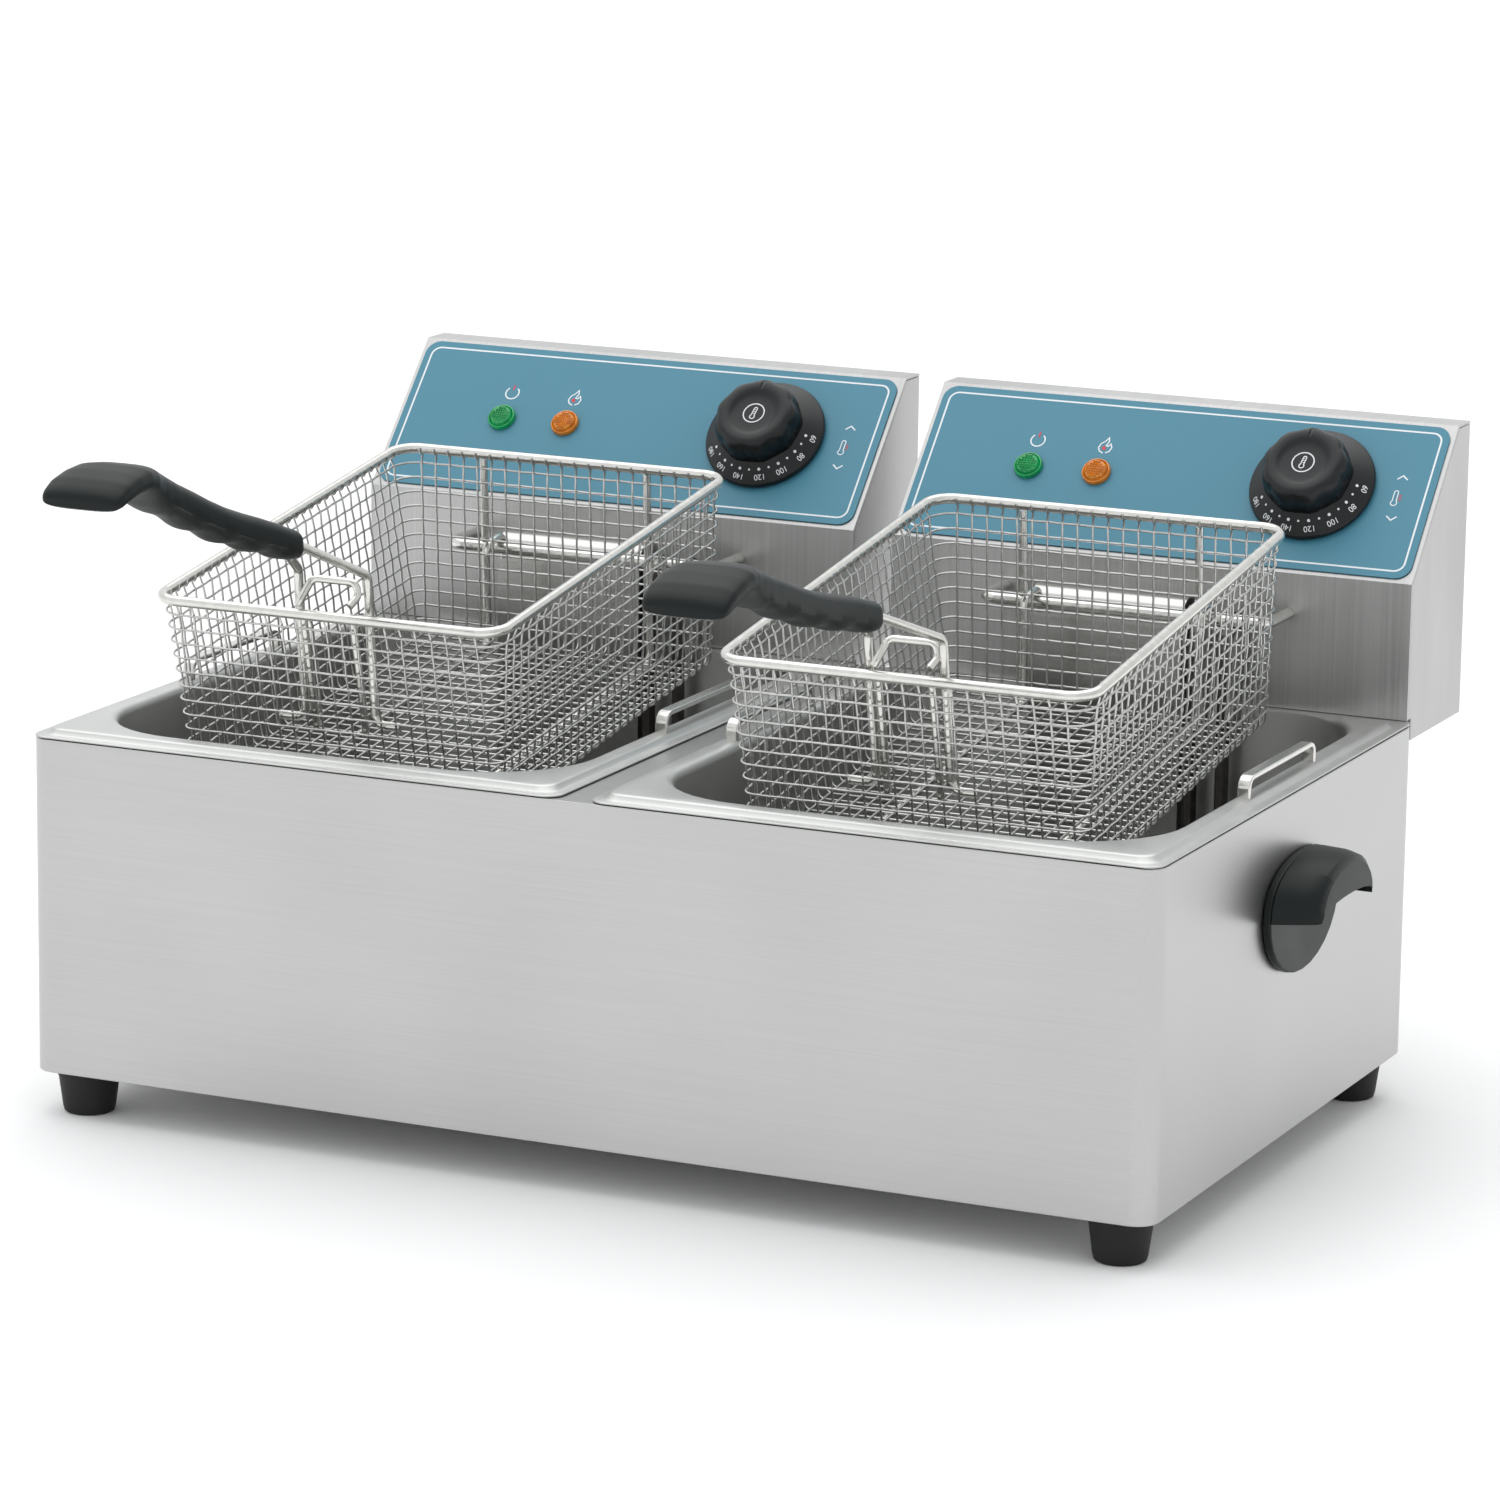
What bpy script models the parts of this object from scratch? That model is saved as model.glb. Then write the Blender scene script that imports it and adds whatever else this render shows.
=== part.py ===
"""Twin countertop electric deep fryer: one sheet-steel casing with two drop-in tanks.
Each tank has its own lift-off control head and a wire basket that hangs on the head's drain rail.
Metres, +Z up, +X to the user's right, +Y towards the back. The origin is on the table, under the middle
of the machine's bounding box. While the pieces are placed, Y is counted from the casing's front face."""

import math

import bmesh
import bpy
from mathutils import Matrix, Vector

# ---- driving dimensions -------------------------------------------------------------------------
FIT = 0.0003  # clearance between two pieces that touch
SLIDE_FIT = 0.0008  # clearance round a piece that slides or turns
SHEET = 0.001  # steel sheet

BODY_WIDTH = 0.560
BODY_DEPTH = 0.334
BODY_HEIGHT = 0.159
BODY_CORNER = 0.011
FOOT_HEIGHT = 0.0212
FOOT_TOP_RADIUS = 0.015
FOOT_TIP_RADIUS = 0.0122
FOOT_SIDE_INSET = 0.0205
FOOT_END_INSET = 0.0185

DECK_STRIP = 0.0146  # deck that shows between the two tank rims
RIM_SIDE = 0.0165  # rim beside the tank's opening
RIM_FRONT = 0.018
RIM_REAR = 0.009
RIM_RAISE = 0.0030
RIM_EDGE = 0.0045  # flat lip outside the raised border
BORDER_SLOPE = 0.0025
BORDER_END_GAP = 0.0135  # the raised border stops this far in front of the head
BORDER_END_RUN = 0.0045
TANK_UNDER = 0.017  # the tank is this much shallower than the casing
TANK_CORNER = 0.050
TANK_DRAFT = 0.0015
TANK_EDGE_ROUND = 0.004
TANK_FLOOR_ROUND = 0.012
BAIL_OFFSET = 0.0059  # strap handle to the opening's edge
BAIL_LENGTH = 0.087
BAIL_REARWARD = 0.002
BAIL_STRAP_WIDTH = 0.006
BAIL_STRAP_THICKNESS = 0.0025
BAIL_BEND = 0.006
BAIL_RISE = 0.010  # top of the strap above the rim, pushed down
BAIL_LEG = 0.030
BAIL_TOE = 0.006  # catches under the rim when the handle is pulled up

HEAD_INSET = 0.003  # head narrower than the rim, on each side
HEAD_SEAT = 0.0038  # the head's face stands this far in from the casing's back
HEAD_DEPTH = 0.0788
HEAD_TOP_FOLD = 0.0169
HEAD_FACE_HEIGHT = 0.0672
HEAD_PANEL_RISE = 0.0664
HEAD_OVERHANG = 0.009  # how far the head's floor hangs below the deck behind the casing
HEAD_BACK_GAP = 0.0025

LABEL_MARGIN = 0.005
LABEL_THICKNESS = 0.0005
LABEL_CORNER = 0.006
LAMP_FROM_EDGE = 0.0587
LAMP_PITCH = 0.0355
LAMP_RADIUS = 0.0072
LAMP_BARREL_RADIUS = 0.0055
LAMP_LENGTH = 0.020
KNOB_FROM_EDGE = 0.0618
KNOB_ABOVE_MIDDLE = 0.0028
KNOB_STAND_OFF = 0.0008
KNOB_SKIRT_RADIUS = 0.0308
KNOB_SKIRT_EDGE = 0.0030
KNOB_SKIRT_RISE = 0.0064  # the skirt slopes up to meet the cap
KNOB_CAP_RADIUS = 0.0220
KNOB_HEIGHT = 0.0223
KNOB_LOBES = 9
KNOB_LOBE_DEPTH = 0.0014
SHAFT_RADIUS = 0.003
SHAFT_REACH = 0.014
THERMOSTAT_WIDTH = 0.034
THERMOSTAT_DEPTH = 0.022

RAIL_WIDTH = 0.145
RAIL_ABOVE_DECK = 0.0478
RAIL_REACH = 0.032
RAIL_RADIUS = 0.0028
RAIL_BEND = 0.009
GUARD_LEFT_X = -0.0545
GUARD_RIGHT_X = 0.0235
GUARD_ABOVE_RAIL = 0.004
GUARD_REACH = 0.013
GUARD_FLOOR_GAP = 0.034
ELEMENT_RADIUS = 0.0035
ELEMENT_RISER_X = (0.0305, 0.0465)
ELEMENT_FLOOR_GAP = 0.0218
ELEMENT_SIDE_GAP = 0.0347
ELEMENT_FRONT_GAP = 0.060
ELEMENT_REAR_GAP = 0.033
ELEMENT_RISER_GAP = 0.0095
ELEMENT_TURN_GAP = 0.030
ELEMENT_ENTRY_DROP = 0.006  # the tubes enter the head this far under the rail
BULB_X = -0.014
BULB_RADIUS = 0.003
CAPILLARY_RADIUS = 0.0012
BULB_LENGTH = 0.075
BULB_FROM_FRONT = 0.172
CUTOUT_RADIUS = 0.012
CUTOUT_LENGTH = 0.020
RESET_FROM_EDGE = 0.0482
RESET_ABOVE_DECK = 0.0518
RESET_RADIUS = 0.005
RESET_TRAVEL = 0.002
RESET_STAND_OUT = 0.005
GLAND_FROM_EDGE = 0.0482
GLAND_ABOVE_DECK = 0.0198
GLAND_RADIUS = 0.008
GLAND_LENGTH = 0.016
CORD_HOLE_RADIUS = 0.004
TERMINALS_SIZE = (0.060, 0.025, 0.018)
TERMINALS_BACK_GAP = 0.020

BASKET_SIDE_GAP = 0.0307  # opening's edge to the middle of the rim wire
BASKET_FRONT_Y = 0.035
BASKET_ABOVE_DECK = 0.0638
BASKET_TILT = math.radians(8.0)
BASKET_HEIGHT = 0.095
BASKET_TAPER = 0.008
BASKET_CORNER = 0.012
BASKET_FLOOR_BEND = 0.006
BASKET_WALL = 0.0022
RIM_WIRE_RADIUS = 0.0025
HANGER_WIRE_RADIUS = 0.0020
HANGER_INSIDE_RAIL = 0.028  # each hook, from the rail's end
HANGER_FRONT = 0.030
HOOK_REACH = 0.0196  # rear rim to the drain rail
HOOK_DROP = 0.012
BRACKET_WIRE_RADIUS = 0.0018
BRACKET_FOOT_SPREAD = 0.026
BRACKET_TOP_SPREAD = 0.018
BRACKET_LEAN = 0.0085
BRACKET_HEIGHT = 0.015
HANDLE_WIRE_RADIUS = 0.0022
HANDLE_LEG_SPREAD = 0.036
HANDLE_PIVOT_DROP = 0.0536  # pivot below the rim
HANDLE_SHOULDER = (0.0062, 0.0180)  # behind and above the front rim
HANDLE_END_LENGTH = 0.013
HANDLE_RAISED = {"left": math.radians(4.2), "right": 0.0}  # each handle's own resting angle
COLLAR_SPREAD = 0.009
GRIP_COLLAR = (-0.035, 0.041)  # before and above the front rim
GRIP_LENGTH = 0.178
GRIP_PADDLE_WIDTH = 0.040
GRIP_STEM_WIDTH = 0.021
GRIP_SOCKET = (0.024, 0.0084)  # depth and rise of the hole that holds the wires

SIDE_HANDLE_REARWARD = 0.0075
SIDE_HANDLE_BELOW_DECK = 0.0267
SIDE_HANDLE_WIDTH = 0.091
SIDE_HANDLE_TAPER = 0.008  # each side of the hood, from the plate to its face
SIDE_HANDLE_RISE = 0.025
SIDE_HANDLE_REACH = 0.0245
SIDE_HANDLE_ROUND = 0.008
SIDE_HANDLE_WALL = 0.004
SIDE_HANDLE_MOUTH = 0.0065  # rise of the gap under the hood's face
SIDE_PLATE_DROP = 0.031
SIDE_PLATE_THICKNESS = 0.004

# ---- derived sizes and places -------------------------------------------------------------------
SIDES = {"left": -1, "right": 1}

DECK_Z = FOOT_HEIGHT + BODY_HEIGHT
RIM_WIDTH = BODY_WIDTH / 2 - FIT - DECK_STRIP / 2
RIM_BACK_Y = BODY_DEPTH - FIT
RIM_TOP_Z = DECK_Z + FIT + SHEET
BORDER_Z = RIM_TOP_Z + RIM_RAISE
UNIT_X = (DECK_STRIP + RIM_WIDTH) / 2  # middle of each tank from the middle of the machine
OPENING_WIDTH = RIM_WIDTH - 2 * RIM_SIDE
OPENING_BACK_Y = BODY_DEPTH - RIM_REAR
TANK_FLOOR_Z = DECK_Z - (BODY_HEIGHT - TANK_UNDER)
BAIL_SPREAD = OPENING_WIDTH + 2 * BAIL_OFFSET
BAIL_MIDDLE_Y = (RIM_FRONT + OPENING_BACK_Y) / 2 + BAIL_REARWARD

HEAD_WIDTH = RIM_WIDTH - 2 * HEAD_INSET
HEAD_FRONT_Y = BODY_DEPTH - HEAD_SEAT
HEAD_BACK_Y = HEAD_FRONT_Y + HEAD_DEPTH
HEAD_FOOT_Z = RIM_TOP_Z + FIT
HEAD_FLOOR_Z = DECK_Z - HEAD_OVERHANG
PANEL_LOW_Z = DECK_Z + HEAD_FACE_HEIGHT
HEAD_TOP_Z = PANEL_LOW_Z + HEAD_PANEL_RISE
PANEL_TOP_Y = HEAD_BACK_Y - HEAD_TOP_FOLD
PANEL_ANGLE = math.atan2(HEAD_PANEL_RISE, PANEL_TOP_Y - HEAD_FRONT_Y)
PANEL_LENGTH = math.hypot(HEAD_PANEL_RISE, PANEL_TOP_Y - HEAD_FRONT_Y)
BORDER_END_Y = HEAD_FRONT_Y - BORDER_END_GAP

GREEN_LAMP_X = -HEAD_WIDTH / 2 + LAMP_FROM_EDGE
AMBER_LAMP_X = GREEN_LAMP_X + LAMP_PITCH
LAMP_UP_PANEL = PANEL_LENGTH / 2
KNOB_X = HEAD_WIDTH / 2 - KNOB_FROM_EDGE
KNOB_UP_PANEL = PANEL_LENGTH / 2 + KNOB_ABOVE_MIDDLE
LABEL_TOP = FIT + LABEL_THICKNESS  # above the panel

RAIL_Y = HEAD_FRONT_Y - RAIL_REACH
RAIL_Z = DECK_Z + RAIL_ABOVE_DECK
GUARD_TOP_Z = RAIL_Z + GUARD_ABOVE_RAIL
ELEMENT_ENTRY_Z = RAIL_Z - ELEMENT_ENTRY_DROP
ELEMENT_Z = TANK_FLOOR_Z + ELEMENT_FLOOR_GAP
ELEMENT_RISER_Y = OPENING_BACK_Y - ELEMENT_RISER_GAP
ELEMENT_REAR_Y = OPENING_BACK_Y - ELEMENT_REAR_GAP
ELEMENT_TURN_Y = ELEMENT_REAR_Y - ELEMENT_TURN_GAP
ELEMENT_FRONT_Y = RIM_FRONT + ELEMENT_FRONT_GAP
BULB_Z = ELEMENT_Z + ELEMENT_RADIUS + BULB_RADIUS + 0.002
BULB_FRONT_Y = RIM_FRONT + BULB_FROM_FRONT
CAPILLARY_Y = HEAD_FRONT_Y - GUARD_REACH + SHEET + 0.0025
RESET_X = HEAD_WIDTH / 2 - RESET_FROM_EDGE
RESET_Z = DECK_Z + RESET_ABOVE_DECK
GLAND_X = -HEAD_WIDTH / 2 + GLAND_FROM_EDGE
GLAND_Z = DECK_Z + GLAND_ABOVE_DECK

BASKET_WIDTH = OPENING_WIDTH - 2 * BASKET_SIDE_GAP  # middle of the rim wire to its middle
BASKET_LENGTH = (RAIL_Y - HOOK_REACH - BASKET_FRONT_Y) / math.cos(BASKET_TILT)
BASKET_FRONT_Z = DECK_Z + BASKET_ABOVE_DECK
HANGER_SPREAD = RAIL_WIDTH - 2 * HANGER_INSIDE_RAIL
PIVOT_WALL_IN = BASKET_TAPER * HANDLE_PIVOT_DROP / BASKET_HEIGHT  # the wall's lean at the pivot
HANDLE_PIVOT_IN = PIVOT_WALL_IN + BASKET_WALL + HANDLE_WIRE_RADIUS + FIT  # behind the front rim

# ---- scene and objects --------------------------------------------------------------------------
for old in list(bpy.data.objects):
    bpy.data.objects.remove(old, do_unlink=True)

fryer = bpy.data.collections.new("deep_fryer")
tools = bpy.data.collections.new("cutters")
bpy.context.scene.collection.children.link(fryer)
bpy.context.scene.collection.children.link(tools)
tools.hide_render = True


def material(name, colour, roughness, metallic):
    made = bpy.data.materials.new(name)
    made.use_nodes = True
    shader = made.node_tree.nodes["Principled BSDF"]
    shader.inputs["Base Color"].default_value = (*colour, 1.0)
    shader.inputs["Roughness"].default_value = roughness
    shader.inputs["Metallic"].default_value = metallic
    return made


STEEL = material("brushed_steel", (0.60, 0.60, 0.59), 0.32, 1.0)
PAN_STEEL = material("pressed_steel", (0.56, 0.56, 0.56), 0.26, 1.0)
PLATING = material("bright_plating", (0.72, 0.72, 0.70), 0.16, 1.0)
WIRE_STEEL = material("plated_wire", (0.66, 0.66, 0.64), 0.22, 1.0)
ELEMENT_STEEL = material("heated_tube", (0.16, 0.16, 0.16), 0.42, 1.0)
GREY_PLASTIC = material("green_grey_plastic", (0.042, 0.055, 0.056), 0.45, 0.0)
BLACK_PLASTIC = material("black_plastic", (0.012, 0.012, 0.013), 0.40, 0.0)
BLACK_RUBBER = material("black_rubber", (0.010, 0.010, 0.010), 0.65, 0.0)
TEAL_LABEL = material("teal_label", (0.138, 0.361, 0.479), 0.38, 0.0)
GREEN_LENS = material("green_lens", (0.010, 0.270, 0.085), 0.15, 0.0)
AMBER_LENS = material("amber_lens", (0.850, 0.270, 0.020), 0.15, 0.0)
RED_PLASTIC = material("red_plastic", (0.450, 0.012, 0.010), 0.40, 0.0)
CREAM_CERAMIC = material("cream_ceramic", (0.700, 0.640, 0.520), 0.50, 0.0)


def add_object(name, data, paint, parent=None, location=(0, 0, 0), rotation=(0, 0, 0)):
    made = bpy.data.objects.new(name, data)
    fryer.objects.link(made)
    made.parent = parent
    made.location = location
    made.rotation_euler = rotation
    if paint:
        data.materials.append(paint)
    return made


def add_empty(name, parent=None, location=(0, 0, 0), rotation=(0, 0, 0)):
    return add_object(name, None, None, parent, location, rotation)


def shade_round(mesh, angle=35):
    mesh.shade_smooth()
    mesh.set_sharp_from_angle(angle=math.radians(angle))


# ---- outlines, in two dimensions ----------------------------------------------------------------
def arc(centre, radius, start, end, steps):
    """Points on an arc, angles in degrees."""
    angles = [math.radians(start + (end - start) * i / steps) for i in range(steps + 1)]
    return [(centre[0] + radius * math.cos(a), centre[1] + radius * math.sin(a)) for a in angles]


def rounded_rectangle(width, depth, corner, middle=(0.0, 0.0), steps=4):
    x = width / 2 - corner
    y = depth / 2 - corner
    points = []
    for sx, sy, start in ((1, 1, 0), (-1, 1, 90), (-1, -1, 180), (1, -1, 270)):
        points += arc((middle[0] + sx * x, middle[1] + sy * y), corner, start, start + 90, steps)
    return points


def circle(middle, radius, steps=16):
    return arc(middle, radius, 0, 360 * (steps - 1) / steps, steps - 1)


def offset(points, distance):
    """An open line of points moved sideways, to the left of its direction."""
    normals = []
    for (ax, ay), (bx, by) in zip(points, points[1:]):
        length = math.hypot(bx - ax, by - ay)
        normals.append((-(by - ay) / length, (bx - ax) / length))
    moved = []
    for i, (x, y) in enumerate(points):
        before = normals[max(i - 1, 0)]
        after = normals[min(i, len(normals) - 1)]
        share = distance / (1 + before[0] * after[0] + before[1] * after[1])
        moved.append((x + (before[0] + after[0]) * share, y + (before[1] + after[1]) * share))
    return moved


def strip(points, thickness):
    """The outline of a bent sheet, from the points on its outer face."""
    return points + offset(points, -thickness)[::-1]


# ---- solids -------------------------------------------------------------------------------------
def flat_curve(name, outlines, thickness):
    """A filled flat outline, its other outlines being holes, centred on its plane."""
    curve = bpy.data.curves.new(name, "CURVE")
    curve.dimensions = "2D"
    curve.fill_mode = "BOTH"
    curve.extrude = thickness / 2
    for outline in outlines:
        spline = curve.splines.new("POLY")
        spline.points.add(len(outline) - 1)
        for point, (x, y) in zip(spline.points, outline):
            point.co = (x, y, 0, 1)
        spline.use_cyclic_u = True
    return curve


def meshed(curve, name):
    """The curve's solid as a welded mesh, so that it can be cut or joined."""
    holder = bpy.data.objects.new(name, curve)
    fryer.objects.link(holder)
    bpy.context.view_layer.update()
    evaluated = holder.evaluated_get(bpy.context.evaluated_depsgraph_get())
    mesh = bpy.data.meshes.new_from_object(evaluated)
    bpy.data.objects.remove(holder)
    form = bmesh.new()
    form.from_mesh(mesh)
    bmesh.ops.remove_doubles(form, verts=form.verts, dist=1e-6)
    bmesh.ops.recalc_face_normals(form, faces=form.faces)
    form.to_mesh(mesh)
    form.free()
    mesh.name = name
    return mesh


def flat_mesh(name, outlines, low, high):
    """A flat outline as a welded mesh that stands from low to high on Z."""
    mesh = meshed(flat_curve(name, outlines, high - low), name)
    mesh.transform(Matrix.Translation((0, 0, (low + high) / 2)))
    return mesh


def side_mesh(name, outline, low_x, high_x):
    """An outline of (y, z) points as a welded mesh that reaches from low_x to high_x."""
    mesh = meshed(flat_curve(name, [outline], high_x - low_x), name)
    mesh.transform(Matrix(((0, 0, 1, (low_x + high_x) / 2), (1, 0, 0, 0), (0, 1, 0, 0), (0, 0, 0, 1))))
    return mesh


def box_mesh(name, boxes, corner=0.0):
    """One mesh of separate boxes, each given by its low and high corner."""
    form = bmesh.new()
    for low, high in boxes:
        size = [b - a for a, b in zip(low, high)]
        middle = [(a + b) / 2 for a, b in zip(low, high)]
        place = Matrix.Translation(middle) @ Matrix.Diagonal((*size, 1))
        bmesh.ops.create_cube(form, size=1, matrix=place)
    if corner:
        bmesh.ops.bevel(
            form, geom=form.edges[:], offset=corner, segments=2, profile=0.5, affect="EDGES"
        )
    mesh = bpy.data.meshes.new(name)
    form.to_mesh(mesh)
    form.free()
    return mesh


def rod_mesh(name, start, end, radius, steps=16):
    form = bmesh.new()
    run = Vector(end) - Vector(start)
    turn = run.to_track_quat("Z", "Y").to_matrix().to_4x4()
    place = Matrix.Translation((Vector(start) + Vector(end)) / 2) @ turn
    bmesh.ops.create_cone(
        form,
        cap_ends=True,
        segments=steps,
        radius1=radius,
        radius2=radius,
        depth=run.length,
        matrix=place,
    )
    mesh = bpy.data.meshes.new(name)
    form.to_mesh(mesh)
    form.free()
    shade_round(mesh)
    return mesh


def turned_mesh_object(name, profile, paint, parent, location=(0, 0, 0), rotation=(0, 0, 0), steps=24):
    """A closed (radius, height) profile, outer side listed from top to bottom, turned about Z."""
    mesh = bpy.data.meshes.new(name)
    form = bmesh.new()
    points = [form.verts.new((radius, 0, height)) for radius, height in profile]
    for a, b in zip(points, points[1:]):
        form.edges.new((a, b))
    if profile[0][0] > 0:
        form.edges.new((points[-1], points[0]))
    form.to_mesh(mesh)
    form.free()
    made = add_object(name, mesh, paint, parent, location, rotation)
    screw = made.modifiers.new("turn", "SCREW")
    screw.steps = steps
    screw.render_steps = steps
    screw.use_merge_vertices = True
    screw.merge_threshold = 0.00001
    screw.use_smooth_shade = True
    return made


def rounded_path(points, radius, steps=4):
    """A path through points in space with its inner corners rounded."""
    path = [Vector(points[0])]
    for before, corner, after in zip(points, points[1:], points[2:]):
        corner = Vector(corner)
        back = Vector(before) - corner
        ahead = Vector(after) - corner
        half = back.angle(ahead) / 2
        if math.degrees(half) > 89.5:
            path.append(corner)
            continue
        reach = min(radius / math.tan(half), back.length * 0.49, ahead.length * 0.49)
        start = corner + back.normalized() * reach
        end = corner + ahead.normalized() * reach
        middle = (start + end) / 2
        centre = corner + (middle - corner).normalized() * (reach / math.cos(half))
        for i in range(steps + 1):
            spoke = (start - centre).normalized().slerp((end - centre).normalized(), i / steps)
            path.append(centre + spoke * reach * math.tan(half))
    path.append(Vector(points[-1]))
    return path


def wire(name, points, radius, paint, parent, closed=False, detail=1):
    """A round wire or tube along a path."""
    curve = bpy.data.curves.new(name, "CURVE")
    curve.dimensions = "3D"
    curve.bevel_depth = radius
    curve.bevel_resolution = detail
    curve.use_fill_caps = not closed
    spline = curve.splines.new("POLY")
    spline.points.add(len(points) - 1)
    for point, place in zip(spline.points, points):
        point.co = (*place, 1)
    spline.use_cyclic_u = closed
    spline.use_smooth = True
    return add_object(name, curve, paint, parent)


def loft_mesh(name, rings, close_first, close_last):
    """A skin through rings of points that all have the same count."""
    form = bmesh.new()
    rows = [[form.verts.new(point) for point in ring] for ring in rings]
    for low, high in zip(rows, rows[1:]):
        for i in range(len(low)):
            j = (i + 1) % len(low)
            form.faces.new((low[i], low[j], high[j], high[i]))
    if close_first:
        form.faces.new(rows[0])
    if close_last:
        form.faces.new(rows[-1])
    bmesh.ops.recalc_face_normals(form, faces=form.faces)
    mesh = bpy.data.meshes.new(name)
    form.to_mesh(mesh)
    form.free()
    shade_round(mesh)
    return mesh


def cutter(name, mesh, parent=None, location=(0, 0, 0), rotation=(0, 0, 0)):
    made = add_object(name, mesh, None, parent, location, rotation)
    fryer.objects.unlink(made)
    tools.objects.link(made)
    made.hide_render = True
    made.display_type = "WIRE"
    return made


def combine(target, other, operation):
    change = target.modifiers.new(other.name, "BOOLEAN")
    change.operation = operation
    change.object = other


# ---- casing -------------------------------------------------------------------------------------
def deck_opening(side):
    """The hole in the deck that the tank and its strap handles pass through."""
    width = BAIL_SPREAD + BAIL_STRAP_WIDTH + 2 * (SLIDE_FIT + FIT)
    front = RIM_FRONT * 0.7
    back = OPENING_BACK_Y + RIM_REAR / 2
    middle = (side * UNIT_X, (front + back) / 2)
    return rounded_rectangle(width, back - front, 0.006, middle, steps=2)


def make_housing(frame):
    middle = (0, BODY_DEPTH / 2)
    outer = rounded_rectangle(BODY_WIDTH, BODY_DEPTH, BODY_CORNER, middle, steps=5)
    inner = rounded_rectangle(
        BODY_WIDTH - 2 * SHEET, BODY_DEPTH - 2 * SHEET, BODY_CORNER - SHEET, middle, steps=5
    )
    housing = add_object("housing", flat_mesh("housing", [outer], FOOT_HEIGHT, DECK_Z), STEEL, frame)
    room = flat_mesh("housing_room", [inner], FOOT_HEIGHT - 0.01, DECK_Z - SHEET)
    combine(housing, cutter("housing_room", room, frame), "DIFFERENCE")
    for name, side in SIDES.items():
        mouth = flat_mesh("deck_opening", [deck_opening(side)], DECK_Z - 0.01, DECK_Z + 0.01)
        combine(housing, cutter(f"{name}_deck_opening", mouth, frame), "DIFFERENCE")


def make_base_plate(frame):
    gap = 2 * (SHEET + FIT)
    outline = rounded_rectangle(
        BODY_WIDTH - gap, BODY_DEPTH - gap, BODY_CORNER - gap / 2, (0, BODY_DEPTH / 2)
    )
    low = FOOT_HEIGHT + FIT
    add_object("base_plate", flat_mesh("base_plate", [outline], low, low + SHEET), STEEL, frame)


def make_feet(frame):
    profile = [
        (0, FOOT_HEIGHT),
        (FOOT_TOP_RADIUS, FOOT_HEIGHT),
        (FOOT_TOP_RADIUS, FOOT_HEIGHT - 0.003),
        (FOOT_TIP_RADIUS, 0.0015),
        (FOOT_TIP_RADIUS - 0.0015, 0),
        (0, 0),
    ]
    ends = {"front": FOOT_END_INSET, "rear": BODY_DEPTH - FOOT_END_INSET}
    for end, y in ends.items():
        for side, sign in SIDES.items():
            x = sign * (BODY_WIDTH / 2 - FOOT_SIDE_INSET)
            turned_mesh_object(f"foot_{end}_{side}", profile, BLACK_RUBBER, frame, (x, y, 0))


def arch_outline(width, rise, foot, top, drop=0.0):
    """An arch of (y, z) points: half an ellipse over straight legs that run down by drop."""
    half = width / 2
    steps = 14
    turns = [math.pi * i / steps for i in range(steps + 1)]
    points = [(half * math.cos(a), foot + (top - foot) * math.sin(a) ** rise) for a in turns]
    return points + [(-half, foot - drop), (half, foot - drop)] if drop else points


def hood_rings(side, near, walls, foot, top, drop=0.0):
    """Arches from the plate out to the hood's face, set in from its outside by walls."""
    reach = SIDE_HANDLE_REACH - walls
    turn = SIDE_HANDLE_ROUND
    half = SIDE_HANDLE_WIDTH / 2 - walls
    face = half - SIDE_HANDLE_TAPER
    levels = (
        (near, half, top - walls),
        (reach - turn, face + turn * 0.25, top - walls),
        (reach - turn * 0.3, face - turn * 0.15, top - walls - turn * 0.15),
        (reach, face - turn * 0.6, top - walls - turn * 0.6),
    )
    rings = []
    for x, wide, crown in levels:
        arch = arch_outline(2 * wide, 0.8, foot, crown, drop)
        rings.append([(side * x, y, z) for y, z in arch])
    return rings


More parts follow.
